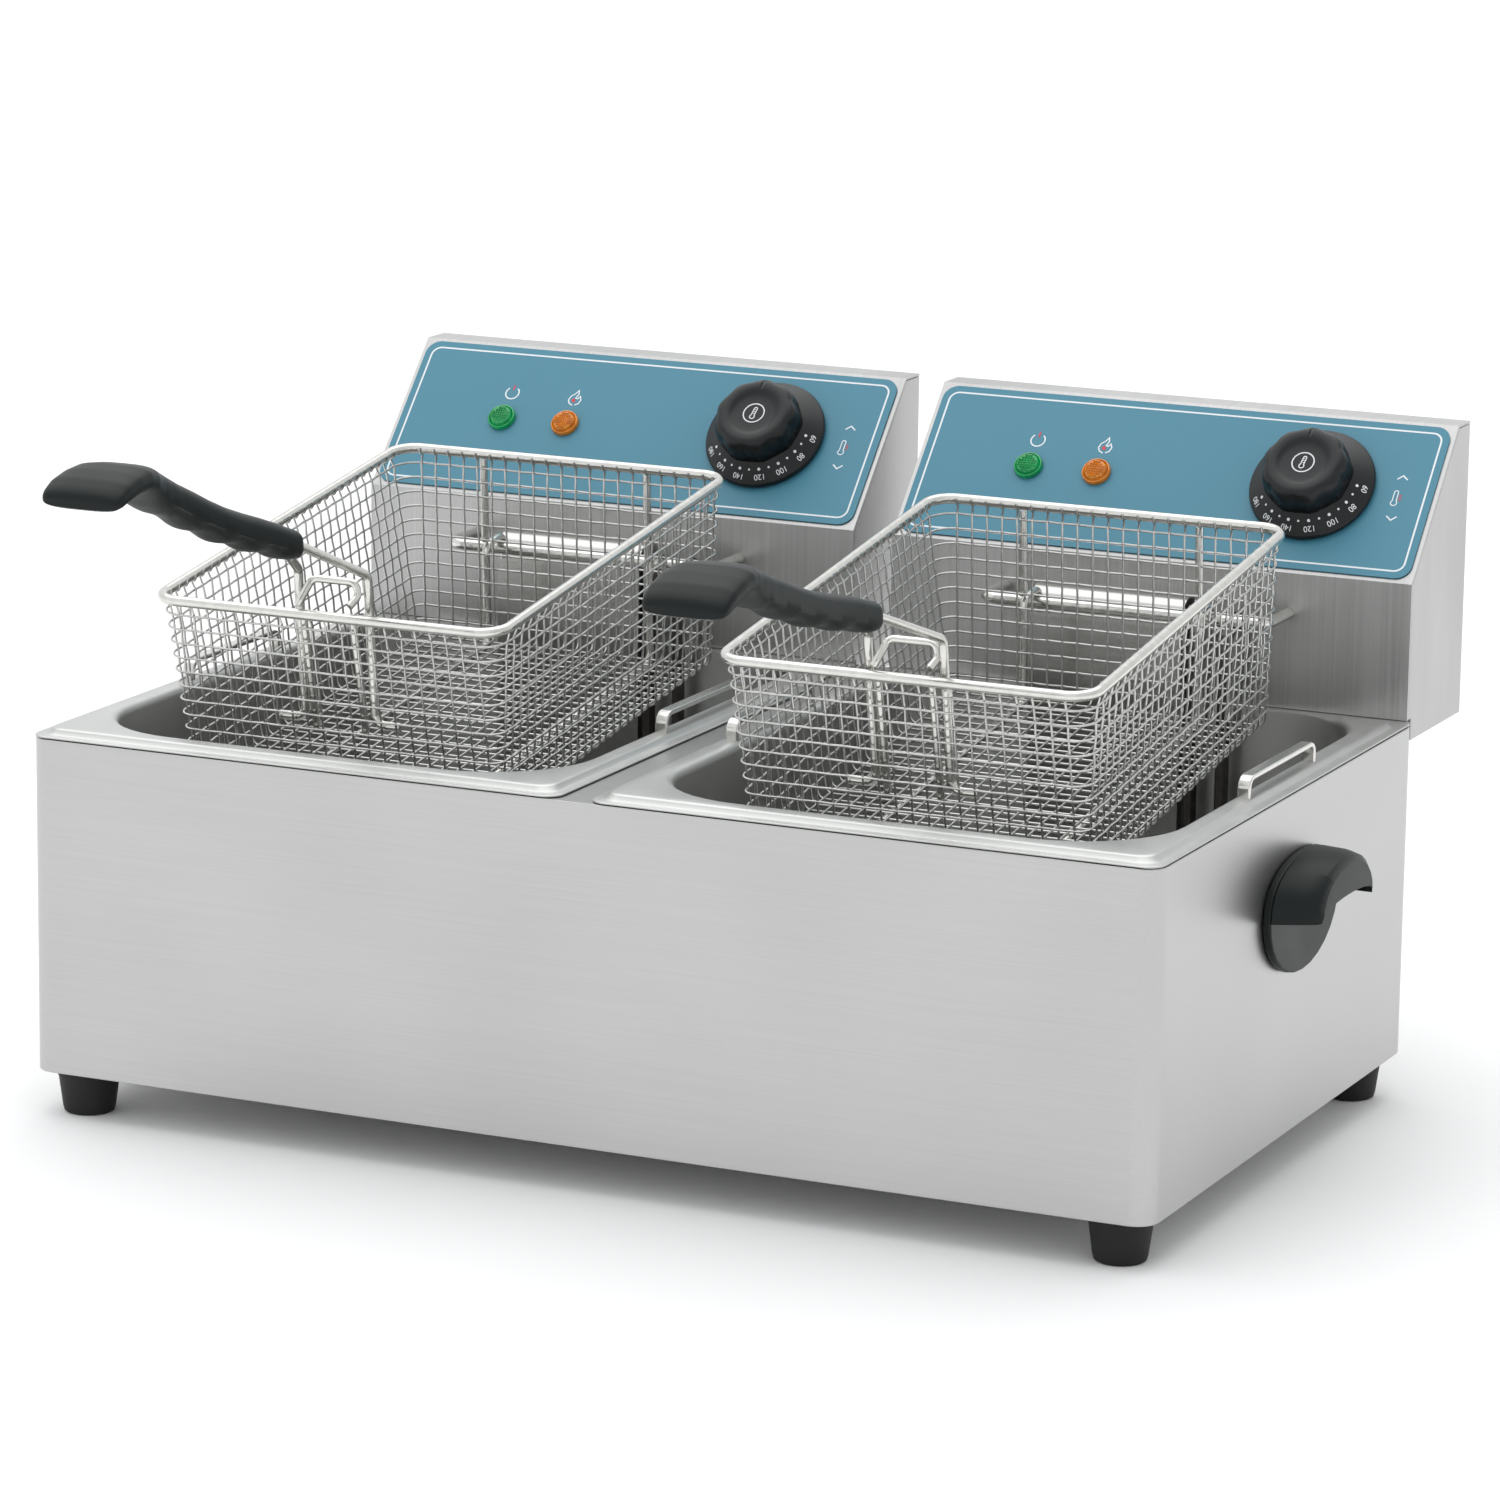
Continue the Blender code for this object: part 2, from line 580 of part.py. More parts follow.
def make_side_handle(frame, name, side):
    """A carry handle: a back plate with a rounded tongue, and a hood that the fingers reach under."""
    wall_x = BODY_WIDTH / 2 + FIT
    top_z = DECK_Z - SIDE_HANDLE_BELOW_DECK
    foot_z = top_z - SIDE_HANDLE_RISE
    middle_y = BODY_DEPTH / 2 + SIDE_HANDLE_REARWARD
    mount = add_empty(f"{name}_handle_frame", frame, (side * wall_x, middle_y, 0))
    near, far = sorted((0.0, side * SIDE_PLATE_THICKNESS))
    half = SIDE_HANDLE_WIDTH / 2
    turns = [math.pi + math.pi * i / 14 for i in range(15)]
    tongue = [(half * math.cos(a), foot_z + SIDE_PLATE_DROP * math.sin(a)) for a in turns]
    plate_outline = arch_outline(SIDE_HANDLE_WIDTH, 0.8, foot_z, top_z)[1:-1] + tongue
    plate = side_mesh(f"{name}_handle_plate", plate_outline, near, far)
    add_object(f"{name}_handle_plate", plate, GREY_PLASTIC, mount)

    start = SIDE_PLATE_THICKNESS + FIT
    outside = hood_rings(side, start, 0.0, foot_z, top_z)
    hood_mesh = loft_mesh(f"{name}_handle_hood", outside, True, True)
    hood = add_object(f"{name}_handle_hood", hood_mesh, GREY_PLASTIC, mount)
    inside = hood_rings(side, start - 0.01, SIDE_HANDLE_WALL, foot_z, top_z, 0.01)
    hollow_mesh = loft_mesh(f"{name}_hood_hollow", inside, True, True)
    combine(hood, cutter(f"{name}_hood_hollow", hollow_mesh, mount), "DIFFERENCE")
    width = SIDE_HANDLE_WIDTH - 2 * (SIDE_HANDLE_TAPER + SIDE_HANDLE_WALL)
    lip = arch_outline(width, 0.7, foot_z, foot_z + SIDE_HANDLE_MOUTH, 0.01)
    near, far = sorted((side * 0.01, side * (SIDE_HANDLE_REACH + 0.01)))
    mouth = cutter(f"{name}_hood_mouth", side_mesh("mouth", lip, near, far), mount)
    combine(hood, mouth, "DIFFERENCE")


# ---- tanks --------------------------------------------------------------------------------------
def tank_ring(width, front, back, corner, height, rear_height=None):
    """One ring of the tank's skin. Behind the raised border's end its height can differ."""
    points = rounded_rectangle(width, back - front, corner, (0, (front + back) / 2), steps=6)
    last = min(BORDER_END_Y, back - corner - 0.001)
    before = last - BORDER_END_RUN
    half = width / 2
    points = [(half, before), (half, last), *points[:14], (-half, last), (-half, before), *points[14:]]
    behind = height if rear_height is None else rear_height
    return [(x, y, behind if y > BORDER_END_Y - BORDER_END_RUN / 2 else height) for x, y in points]


def make_tank(frame, name, x):
    """A pressed pan: flat lip, raised border, rolled edge, drafted walls and a rounded floor."""
    top = RIM_TOP_Z
    raised = BORDER_Z
    floor = TANK_FLOOR_Z
    border = RIM_EDGE + BORDER_SLOPE
    inner = RIM_SIDE
    edge = TANK_EDGE_ROUND
    rings = [tank_ring(RIM_WIDTH, FIT, RIM_BACK_Y, 0.009, top)]
    rings.append(tank_ring(RIM_WIDTH - 2 * RIM_EDGE, RIM_EDGE, RIM_BACK_Y - 0.0012, 0.008, top, top))
    rings.append(tank_ring(RIM_WIDTH - 2 * border, border, RIM_BACK_Y - 0.0024, 0.007, raised, top))
    walls = (
        (inner - edge, raised),
        (inner - 0.001, raised - 0.001),
        (inner, raised - edge),
        (inner + TANK_DRAFT, floor + TANK_FLOOR_ROUND),
        (inner + TANK_DRAFT + 0.0035, floor + 0.0035),
        (inner + TANK_DRAFT + TANK_FLOOR_ROUND, floor),
    )
    for inset, height in walls:
        front = RIM_FRONT + inset - inner
        back = OPENING_BACK_Y - inset + inner
        corner = TANK_CORNER - (inset - inner)
        lowered = min(height, top) if height > DECK_Z else None
        rings.append(tank_ring(RIM_WIDTH - 2 * inset, front, back, corner, height, lowered))
    mesh = loft_mesh(f"{name}_tank", rings, False, True)
    tank = add_object(f"{name}_tank", mesh, PAN_STEEL, frame, (x, 0, 0))
    skin = tank.modifiers.new("sheet", "SOLIDIFY")
    skin.thickness = SHEET
    skin.offset = -1
    slots = []
    half_x = BAIL_STRAP_WIDTH / 2 + SLIDE_FIT
    half_y = BAIL_STRAP_THICKNESS / 2 + SLIDE_FIT
    for side in SIDES.values():
        for end in SIDES.values():
            slot_y = BAIL_MIDDLE_Y + end * (BAIL_LENGTH - BAIL_STRAP_THICKNESS) / 2
            slot_x = side * BAIL_SPREAD / 2
            low = (slot_x - half_x, slot_y - half_y, DECK_Z - 0.005)
            slots.append((low, (slot_x + half_x, slot_y + half_y, raised + 0.005)))
    holes = cutter(f"{name}_slots", box_mesh(f"{name}_slots", slots), frame, (x, 0, 0))
    combine(tank, holes, "DIFFERENCE")


def make_bail(frame, name, x):
    """A flat strap bent down at both ends. Its toes turn outwards under the rim and stop it there."""
    half = BAIL_LENGTH / 2
    crown = BORDER_Z + BAIL_RISE
    foot = crown - BAIL_LEG
    line = [(-half - BAIL_TOE, foot), (-half, foot)]
    line += arc((-half + BAIL_BEND, crown - BAIL_BEND), BAIL_BEND, 180, 90, 3)
    line += arc((half - BAIL_BEND, crown - BAIL_BEND), BAIL_BEND, 90, 0, 3)
    line += [(half, foot), (half + BAIL_TOE, foot)]
    outline = strip(line, BAIL_STRAP_THICKNESS)
    mesh = side_mesh(name, outline, -BAIL_STRAP_WIDTH / 2, BAIL_STRAP_WIDTH / 2)
    add_object(name, mesh, PLATING, frame, (x, BAIL_MIDDLE_Y, 0))


# ---- control heads ------------------------------------------------------------------------------
def head_profile():
    """The head's front, panel and top as (y, z) points."""
    return [
        (HEAD_FRONT_Y, HEAD_FOOT_Z),
        (HEAD_FRONT_Y, PANEL_LOW_Z),
        (PANEL_TOP_Y, HEAD_TOP_Z),
        (HEAD_BACK_Y, HEAD_TOP_Z),
    ]


def hole(name, parent, start, end, radius, target):
    combine(target, cutter(name, rod_mesh(name, start, end, radius), parent), "DIFFERENCE")


def make_head_front(head, name, panel):
    outline = strip(head_profile(), SHEET)
    front = side_mesh(f"{name}_head_front", outline, -HEAD_WIDTH / 2, HEAD_WIDTH / 2)
    front = add_object(f"{name}_head_front", front, STEEL, head)
    for x in ELEMENT_RISER_X:
        start = (x, HEAD_FRONT_Y - 0.01, ELEMENT_ENTRY_Z)
        end = (x, HEAD_FRONT_Y + 0.01, ELEMENT_ENTRY_Z)
        hole(f"{name}_riser_hole", head, start, end, ELEMENT_RADIUS + SLIDE_FIT, front)
    start = (BULB_X, HEAD_FRONT_Y - 0.01, ELEMENT_ENTRY_Z)
    end = (BULB_X, HEAD_FRONT_Y + 0.01, ELEMENT_ENTRY_Z)
    hole(f"{name}_bulb_hole", head, start, end, CAPILLARY_RADIUS + SLIDE_FIT, front)
    for x, up, radius in panel_holes():
        hole(f"{name}_panel_hole", panel, (x, up, -0.01), (x, up, 0.01), radius, front)


def panel_holes():
    lamp = LAMP_BARREL_RADIUS + FIT
    return (
        (GREEN_LAMP_X, LAMP_UP_PANEL, lamp),
        (AMBER_LAMP_X, LAMP_UP_PANEL, lamp),
        (KNOB_X, KNOB_UP_PANEL, SHAFT_RADIUS + SLIDE_FIT),
    )


def make_head_cover(head, name):
    inset = SHEET + FIT
    front = offset(head_profile(), -inset)
    back_foot = HEAD_FLOOR_Z
    step_y = BODY_DEPTH + HEAD_BACK_GAP
    front[0] = (front[0][0], HEAD_FOOT_Z)
    front[-1] = (HEAD_BACK_Y, HEAD_TOP_Z - inset)
    outline = front + [(HEAD_BACK_Y, back_foot), (step_y, back_foot), (step_y, HEAD_FOOT_Z)]
    mesh = side_mesh(f"{name}_head_cover", outline, -HEAD_WIDTH / 2, HEAD_WIDTH / 2)
    cover = add_object(f"{name}_head_cover", mesh, STEEL, head)
    room = [
        (HEAD_FRONT_Y - 0.02, HEAD_FOOT_Z + SHEET),
        (step_y + SHEET, HEAD_FOOT_Z + SHEET),
        (step_y + SHEET, back_foot + SHEET),
        (HEAD_BACK_Y - SHEET, back_foot + SHEET),
        (HEAD_BACK_Y - SHEET, HEAD_TOP_Z + 0.02),
        (HEAD_FRONT_Y - 0.02, HEAD_TOP_Z + 0.02),
    ]
    inside = HEAD_WIDTH / 2 - SHEET
    room = cutter(f"{name}_head_room", side_mesh("room", room, -inside, inside), head)
    combine(cover, room, "DIFFERENCE")
    for label, x, z, radius in (
        ("gland", GLAND_X, GLAND_Z, GLAND_RADIUS + FIT),
        ("reset", RESET_X, RESET_Z, RESET_RADIUS + SLIDE_FIT),
    ):
        start = (x, HEAD_BACK_Y - 0.01, z)
        hole(f"{name}_{label}_hole", head, start, (x, HEAD_BACK_Y + 0.01, z), radius, cover)


def make_label(panel, name):
    width = HEAD_WIDTH - 2 * LABEL_MARGIN
    height = PANEL_LENGTH - 2 * LABEL_MARGIN
    outlines = [rounded_rectangle(width, height, LABEL_CORNER, (0, PANEL_LENGTH / 2))]
    for x, up, radius in panel_holes():
        outlines.append(circle((x, up), radius + FIT)[::-1])
    label = flat_mesh(f"{name}_control_label", outlines, FIT, FIT + LABEL_THICKNESS)
    add_object(f"{name}_control_label", label, TEAL_LABEL, panel)


def make_lamp(panel, name, paint, x):
    """A push-in lamp: a bezel with a domed lens in front, its barrel behind the panel."""
    seat = LABEL_TOP + FIT
    profile = [
        (0, seat + 0.0045),
        (LAMP_RADIUS * 0.55, seat + 0.0040),
        (LAMP_RADIUS * 0.86, seat + 0.0026),
        (LAMP_RADIUS, seat + 0.0018),
        (LAMP_RADIUS, seat),
        (LAMP_BARREL_RADIUS, seat),
        (LAMP_BARREL_RADIUS, seat - LAMP_LENGTH),
        (0, seat - LAMP_LENGTH),
    ]
    turned_mesh_object(name, profile, paint, panel, (x, LAMP_UP_PANEL, 0))


def make_knob(panel, name):
    """A lobed cap on a flat dial skirt, bored for the thermostat's shaft."""
    seat = LABEL_TOP + KNOB_STAND_OFF
    steps = 6 * KNOB_LOBES
    turns = [2 * math.pi * i / steps for i in range(steps)]
    lobed = [
        KNOB_CAP_RADIUS - KNOB_LOBE_DEPTH / 2 * (1 - math.cos(KNOB_LOBES * a)) for a in turns
    ]
    levels = (
        (1.0, seat + KNOB_SKIRT_EDGE),
        (1.0, seat + KNOB_SKIRT_EDGE + KNOB_SKIRT_RISE),
        (0.96, seat + KNOB_HEIGHT - 0.004),
        (0.88, seat + KNOB_HEIGHT - 0.0012),
        (0.76, seat + KNOB_HEIGHT),
    )
    rings = [
        [(r * scale * math.cos(a), r * scale * math.sin(a), z) for r, a in zip(lobed, turns)]
        for scale, z in levels
    ]
    place = (KNOB_X, KNOB_UP_PANEL, 0)
    cap = loft_mesh(f"{name}_knob", rings, True, True)
    knob = add_object(f"{name}_knob", cap, BLACK_PLASTIC, panel, place)
    slope_top = seat + KNOB_SKIRT_EDGE + KNOB_SKIRT_RISE
    slope_end = KNOB_CAP_RADIUS - KNOB_LOBE_DEPTH - FIT
    skirt_levels = (
        (KNOB_SKIRT_RADIUS, seat),
        (KNOB_SKIRT_RADIUS, seat + KNOB_SKIRT_EDGE),
        (slope_end, slope_top),
    )
    skirt_rings = [[(x, y, z) for x, y in circle((0, 0), radius, 40)] for radius, z in skirt_levels]
    skirt = loft_mesh("skirt", skirt_rings, True, True)
    combine(knob, cutter(f"{name}_knob_skirt", skirt, panel, place), "UNION")
    bore = rod_mesh("bore", (0, 0, seat - 0.01), (0, 0, SHAFT_REACH + FIT), SHAFT_RADIUS + FIT)
    combine(knob, cutter(f"{name}_knob_bore", bore, panel, place), "DIFFERENCE")


def make_thermostat(panel, name):
    back = -(SHEET + FIT)
    place = (KNOB_X, KNOB_UP_PANEL, 0)
    half = THERMOSTAT_WIDTH / 2
    box = ((-half, -half, back - THERMOSTAT_DEPTH), (half, half, back))
    body = box_mesh(f"{name}_thermostat", [box], 0.002)
    body = add_object(f"{name}_thermostat", body, CREAM_CERAMIC, panel, place)
    shaft = rod_mesh("shaft", (0, 0, back - 0.005), (0, 0, SHAFT_REACH), SHAFT_RADIUS)
    combine(body, cutter(f"{name}_shaft", shaft, panel, place), "UNION")


def make_rail(head, name):
    half = RAIL_WIDTH / 2
    root = HEAD_FRONT_Y - FIT
    corners = [(-half, root), (-half, RAIL_Y), (half, RAIL_Y), (half, root)]
    path = rounded_path([(x, y, RAIL_Z) for x, y in corners], RAIL_BEND)
    wire(f"{name}_drain_rail", path, RAIL_RADIUS, PLATING, head)


def make_guard(head, name):
    """A bent cover that comes out of the head's face, curves over and runs down into the tank."""
    root = HEAD_FRONT_Y - FIT
    front = HEAD_FRONT_Y - GUARD_REACH
    bend = GUARD_REACH - 0.002
    line = [(front, TANK_FLOOR_Z + GUARD_FLOOR_GAP)]
    line += arc((front + bend, GUARD_TOP_Z - bend), bend, 180, 90, 5)
    line += [(root, GUARD_TOP_Z)]
    mesh = side_mesh(f"{name}_element_guard", strip(line, SHEET), GUARD_LEFT_X, GUARD_RIGHT_X)
    add_object(f"{name}_element_guard", mesh, STEEL, head)


def make_element(head, name):
    """One tube: into the tank beside the guard, six passes along the floor and back up."""
    near, far = ELEMENT_RISER_X
    c = OPENING_WIDTH / 2 - ELEMENT_SIDE_GAP
    a, b = c / 5, c * 3 / 5
    z = ELEMENT_Z
    y = ELEMENT_RISER_Y
    inside_y = HEAD_FRONT_Y + 0.030
    path = [(far, inside_y, ELEMENT_ENTRY_Z), (far, y, ELEMENT_ENTRY_Z), (far, y, z)]
    path += [(far, ELEMENT_REAR_Y, z), (c, ELEMENT_REAR_Y, z), (c, ELEMENT_FRONT_Y, z)]
    turn_y = (ELEMENT_TURN_Y, ELEMENT_FRONT_Y)
    for i, x in enumerate((b, a, -a, -b)):
        path += [(x, path[-1][1], z), (x, turn_y[i % 2], z)]
    path += [(-c, path[-1][1], z), (-c, ELEMENT_REAR_Y, z), (near, ELEMENT_REAR_Y, z)]
    path += [(near, y, z), (near, y, ELEMENT_ENTRY_Z), (near, inside_y, ELEMENT_ENTRY_Z)]
    turns = rounded_path(path, 0.012, steps=3)
    wire(f"{name}_heating_element", turns, ELEMENT_RADIUS, ELEMENT_STEEL, head)


def make_bulb(head, name):
    """A thin capillary tube behind the guard, then the thick bulb lying over the element."""
    neck = BULB_FRONT_Y + BULB_LENGTH
    path = [
        (BULB_X, HEAD_FRONT_Y + 0.020, ELEMENT_ENTRY_Z),
        (BULB_X, CAPILLARY_Y, ELEMENT_ENTRY_Z),
        (BULB_X, CAPILLARY_Y, BULB_Z),
        (BULB_X, neck + 0.004, BULB_Z),
        (BULB_X, neck, BULB_Z),
        (BULB_X, BULB_FRONT_Y, BULB_Z),
    ]
    bulb = wire(f"{name}_sensing_bulb", rounded_path(path, 0.004, 3), CAPILLARY_RADIUS, PLATING, head)
    for point in bulb.data.splines[0].points[-2:]:
        point.radius = BULB_RADIUS / CAPILLARY_RADIUS


def make_cutout(head, name):
    """The high-limit thermostat on the head's back sheet, and the button that resets it."""
    face = HEAD_BACK_Y - SHEET - 0.004
    start = (RESET_X, face - CUTOUT_LENGTH, RESET_Z)
    body = rod_mesh(f"{name}_limit_cutout", start, (RESET_X, face, RESET_Z), CUTOUT_RADIUS)
    add_object(f"{name}_limit_cutout", body, CREAM_CERAMIC, head)
    inner_end = face + FIT + RESET_TRAVEL
    length = HEAD_BACK_Y + RESET_STAND_OUT - inner_end
    button = rod_mesh(f"{name}_reset_button", (0, 0, 0), (0, length, 0), RESET_RADIUS)
    add_object(f"{name}_reset_button", button, RED_PLASTIC, head, (RESET_X, inner_end, RESET_Z))


def make_gland(head, name):
    """A threaded gland through the back sheet, open in the middle for the mains cord."""
    out = GLAND_LENGTH
    inner_end = -SHEET - 0.008
    profile = [
        (CORD_HOLE_RADIUS + 0.002, out),
        (GLAND_RADIUS + 0.002, out - 0.004),
        (GLAND_RADIUS + 0.003, FIT),
        (GLAND_RADIUS, FIT),
        (GLAND_RADIUS, inner_end),
        (CORD_HOLE_RADIUS, inner_end),
        (CORD_HOLE_RADIUS, out),
    ]
    place = (GLAND_X, HEAD_BACK_Y, GLAND_Z)
    turn = (-math.pi / 2, 0, 0)
    turned_mesh_object(f"{name}_cable_gland", profile, BLACK_PLASTIC, head, place, turn, 18)


def make_terminals(head, name):
    width, depth, height = TERMINALS_SIZE
    floor = HEAD_FLOOR_Z + SHEET + FIT
    back = HEAD_BACK_Y - TERMINALS_BACK_GAP
    box = ((-width / 2, back - depth, floor), (width / 2, back, floor + height))
    block = box_mesh(f"{name}_terminal_block", [box], 0.002)
    add_object(f"{name}_terminal_block", block, CREAM_CERAMIC, head)


# ---- baskets ------------------------------------------------------------------------------------
# Basket pieces are placed from the middle of the front rim, with the rim level, and tilted together.
def basket_ring(inset, height, steps=5):
    corner = max(BASKET_CORNER - inset * 0.2, 0.008)
    width = BASKET_WIDTH - 2 * inset
    length = BASKET_LENGTH - 2 * inset
    points = rounded_rectangle(width, length, corner, (0, BASKET_LENGTH / 2), steps)
    return [(x, y, height) for x, y in points]


def make_tray(basket, name):
    """The woven walls and floor as one thin skin, open at the top."""
    top = -(RIM_WIRE_RADIUS + FIT)
    bend = BASKET_FLOOR_BEND
    rings = [
        basket_ring(0.0, top),
        basket_ring(BASKET_TAPER - 0.001, -BASKET_HEIGHT + bend),
        basket_ring(BASKET_TAPER + 0.001, -BASKET_HEIGHT + bend * 0.3),
        basket_ring(BASKET_TAPER + bend, -BASKET_HEIGHT),
    ]
    tray = loft_mesh(f"{name}_basket_tray", rings, False, True)
    tray = add_object(f"{name}_basket_tray", tray, WIRE_STEEL, basket)
    skin = tray.modifiers.new("weave", "SOLIDIFY")
    skin.thickness = BASKET_WALL
    skin.offset = -1


def make_rim(basket, name):
    ring = [Vector(point) for point in basket_ring(0.0, 0.0)]
    wire(f"{name}_basket_rim", ring, RIM_WIRE_RADIUS, WIRE_STEEL, basket, closed=True)


def to_basket(y, z):
    """A machine place in the basket's own frame, before the tilt."""
    dy = y - BASKET_FRONT_Y
    dz = z - BASKET_FRONT_Z
    turned_y = dy * math.cos(BASKET_TILT) + dz * math.sin(BASKET_TILT)
    turned_z = -dy * math.sin(BASKET_TILT) + dz * math.cos(BASKET_TILT)
    return turned_y, turned_z


def wall_inset(drop):
    """How far the basket's wall leans in at a depth under the rim."""
    return BASKET_TAPER * drop / BASKET_HEIGHT


def make_hanger(basket, name):
    """Two hooks over the drain rail, joined by one wire down the rear wall and under the floor."""
    rail_y, rail_z = to_basket(RAIL_Y, RAIL_Z)
    away = RAIL_RADIUS + HANGER_WIRE_RADIUS + 2 * FIT
    clear = HANGER_WIRE_RADIUS + SLIDE_FIT
    apex = rail_z + away
    half = HANGER_SPREAD / 2
    upper = BASKET_LENGTH - wall_inset(-apex) + clear
    lower = BASKET_LENGTH - BASKET_TAPER + clear
    under = -BASKET_HEIGHT - clear
    rear = [
        (rail_y + away, apex - HOOK_DROP),
        (rail_y + away, apex),
        (upper, apex),
        (lower, under),
    ]
    front = BASKET_TAPER + HANGER_FRONT
    path = [(-half, y, z) for y, z in rear] + [(-half, front, under), (half, front, under)]
    path += [(half, y, z) for y, z in reversed(rear)]
    turns = rounded_path(path, away, 3)
    wire(f"{name}_basket_hanger", turns, HANGER_WIRE_RADIUS, WIRE_STEEL, basket)


def make_bracket(basket, name):
    """The arch on the front rim that the handle's wires lean on."""
    foot = BRACKET_FOOT_SPREAD / 2
    head = BRACKET_TOP_SPREAD / 2
    base = RIM_WIRE_RADIUS + BRACKET_WIRE_RADIUS + FIT
    half = [(foot, 0, base), (foot - 0.001, 0.001, base + 0.002), (head, BRACKET_LEAN, BRACKET_HEIGHT)]
    path = [(-x, y, z) for x, y, z in half] + half[::-1]
    turns = rounded_path(path, 0.004, 3)
    wire(f"{name}_handle_bracket", turns, BRACKET_WIRE_RADIUS, WIRE_STEEL, basket)


def make_handle_wire(pivot, name):
    """One wire: out of the pivot, up inside the front wall, over the rim to the grip and back."""
    half = HANDLE_LEG_SPREAD / 2
    shoulder = (HANDLE_SHOULDER[0] - HANDLE_PIVOT_IN, HANDLE_SHOULDER[1] + HANDLE_PIVOT_DROP)
    collar = (GRIP_COLLAR[0] - HANDLE_PIVOT_IN, GRIP_COLLAR[1] + HANDLE_PIVOT_DROP)
    near = COLLAR_SPREAD / 2
    depth, rise = GRIP_SOCKET
    inside = (collar[0] - depth + 0.004, collar[1] + rise * (depth - 0.004) / depth)
    leg = [(half + HANDLE_END_LENGTH, 0, 0), (half, 0, 0), (half, *shoulder), (near, *collar)]
    leg.append((near, *inside))
    path = [(-x, y, z) for x, y, z in leg] + leg[::-1]
    turns = rounded_path(path, 0.005, 3)
    wire(f"{name}_handle_wire", turns, HANDLE_WIRE_RADIUS, WIRE_STEEL, pivot)


def grip_sections():
    """(distance from the collar, rise, half width, half thickness) along the grip."""
    paddle = GRIP_PADDLE_WIDTH / 2
    stem = GRIP_STEM_WIDTH / 2
    reach = GRIP_LENGTH
    return (
        (0.000, 0.0000, stem * 0.80, 0.0065),
        (0.006, 0.0015, stem * 0.88, 0.0075),
        (0.030, 0.0105, stem * 0.95, 0.0085),
        (0.065, 0.0240, stem, 0.0085),
        (0.105, 0.0430, stem, 0.0090),
        (0.128, 0.0560, stem * 1.15, 0.0085),
        (0.140, 0.0620, paddle * 0.88, 0.0065),
        (0.150, 0.0645, paddle, 0.0055),
        (reach - 0.006, 0.0620, paddle, 0.0050),
        (reach, 0.0590, paddle * 0.90, 0.0035),
    )


def make_grip(pivot, name):
    """A long plastic grip lofted from the collar to the wide paddle."""
    start_y = GRIP_COLLAR[0] - HANDLE_PIVOT_IN
    start_z = GRIP_COLLAR[1] + HANDLE_PIVOT_DROP
    sections = grip_sections()
    rings = []
    for out, rise, wide, thick in sections:
        corner = thick * 0.7
        outline = rounded_rectangle(2 * wide, 2 * thick, corner, steps=3)
        rings.append([(x, start_y - out, start_z + rise + z) for x, z in outline])
    form = loft_mesh(f"{name}_grip", rings, True, True)
    grip = add_object(f"{name}_grip", form, GREY_PLASTIC, pivot)
    near = COLLAR_SPREAD / 2 + HANDLE_WIRE_RADIUS + FIT
    room = HANDLE_WIRE_RADIUS + 2 * SLIDE_FIT
    depth, rise = GRIP_SOCKET
    mouth = (start_y + 0.010, start_z - rise * 0.010 / depth)
    end = (start_y - depth, start_z + rise)
    hollow = [(y, z - room) for y, z in (mouth, end)] + [(y, z + room) for y, z in (end, mouth)]
    socket = cutter(f"{name}_grip_socket", side_mesh("socket", hollow, -near, near), pivot)
    combine(grip, socket, "DIFFERENCE")


# ---- assembly -----------------------------------------------------------------------------------
def make_unit(frame, name, side):
    x = side * UNIT_X
    tank = add_empty(f"{name}_tank_frame", frame)
    make_tank(tank, name, x)
    for place, sign in (("inner", -side), ("outer", side)):
        make_bail(tank, f"{name}_tank_handle_{place}", x + sign * BAIL_SPREAD / 2)

    head = add_empty(f"{name}_head_frame", tank, (x, 0, 0))
    panel = add_empty(f"{name}_panel_frame", head, (0, HEAD_FRONT_Y, PANEL_LOW_Z), (PANEL_ANGLE, 0, 0))
    make_head_front(head, name, panel)
    make_head_cover(head, name)
    make_label(panel, name)
    make_lamp(panel, f"{name}_green_lamp", GREEN_LENS, GREEN_LAMP_X)
    make_lamp(panel, f"{name}_amber_lamp", AMBER_LENS, AMBER_LAMP_X)
    make_knob(panel, name)
    make_thermostat(panel, name)
    make_rail(head, name)
    make_guard(head, name)
    make_element(head, name)
    make_bulb(head, name)
    make_cutout(head, name)
    make_gland(head, name)
    make_terminals(head, name)

    place = (0, BASKET_FRONT_Y, BASKET_FRONT_Z)
    basket = add_empty(f"{name}_basket_frame", head, place, (BASKET_TILT, 0, 0))
    make_tray(basket, name)
    make_rim(basket, name)
    make_hanger(basket, name)
    make_bracket(basket, name)
    place = (0, HANDLE_PIVOT_IN, -HANDLE_PIVOT_DROP)
    pivot = add_empty(f"{name}_grip_pivot", basket, place, (-HANDLE_RAISED[name], 0, 0))
    make_handle_wire(pivot, name)
    make_grip(pivot, name)


def centre_on_origin(frame):
    """Moves the machine along Y until its bounding box is centred on the origin."""
    bpy.context.view_layer.update()
    graph = bpy.context.evaluated_depsgraph_get()
    reach = []
    for piece in fryer.objects:
        if piece.type != "EMPTY":
            evaluated = piece.evaluated_get(graph)
            solid = evaluated.to_mesh()
            reach += [(evaluated.matrix_world @ corner.co).y for corner in solid.vertices]
            evaluated.to_mesh_clear()
    frame.location.y = -(min(reach) + max(reach)) / 2


def main():
    frame = add_empty("machine_frame")
    make_housing(frame)
    make_base_plate(frame)
    make_feet(frame)
    for name, side in SIDES.items():
        make_side_handle(frame, name, side)
        make_unit(frame, name, side)
    centre_on_origin(frame)


main()
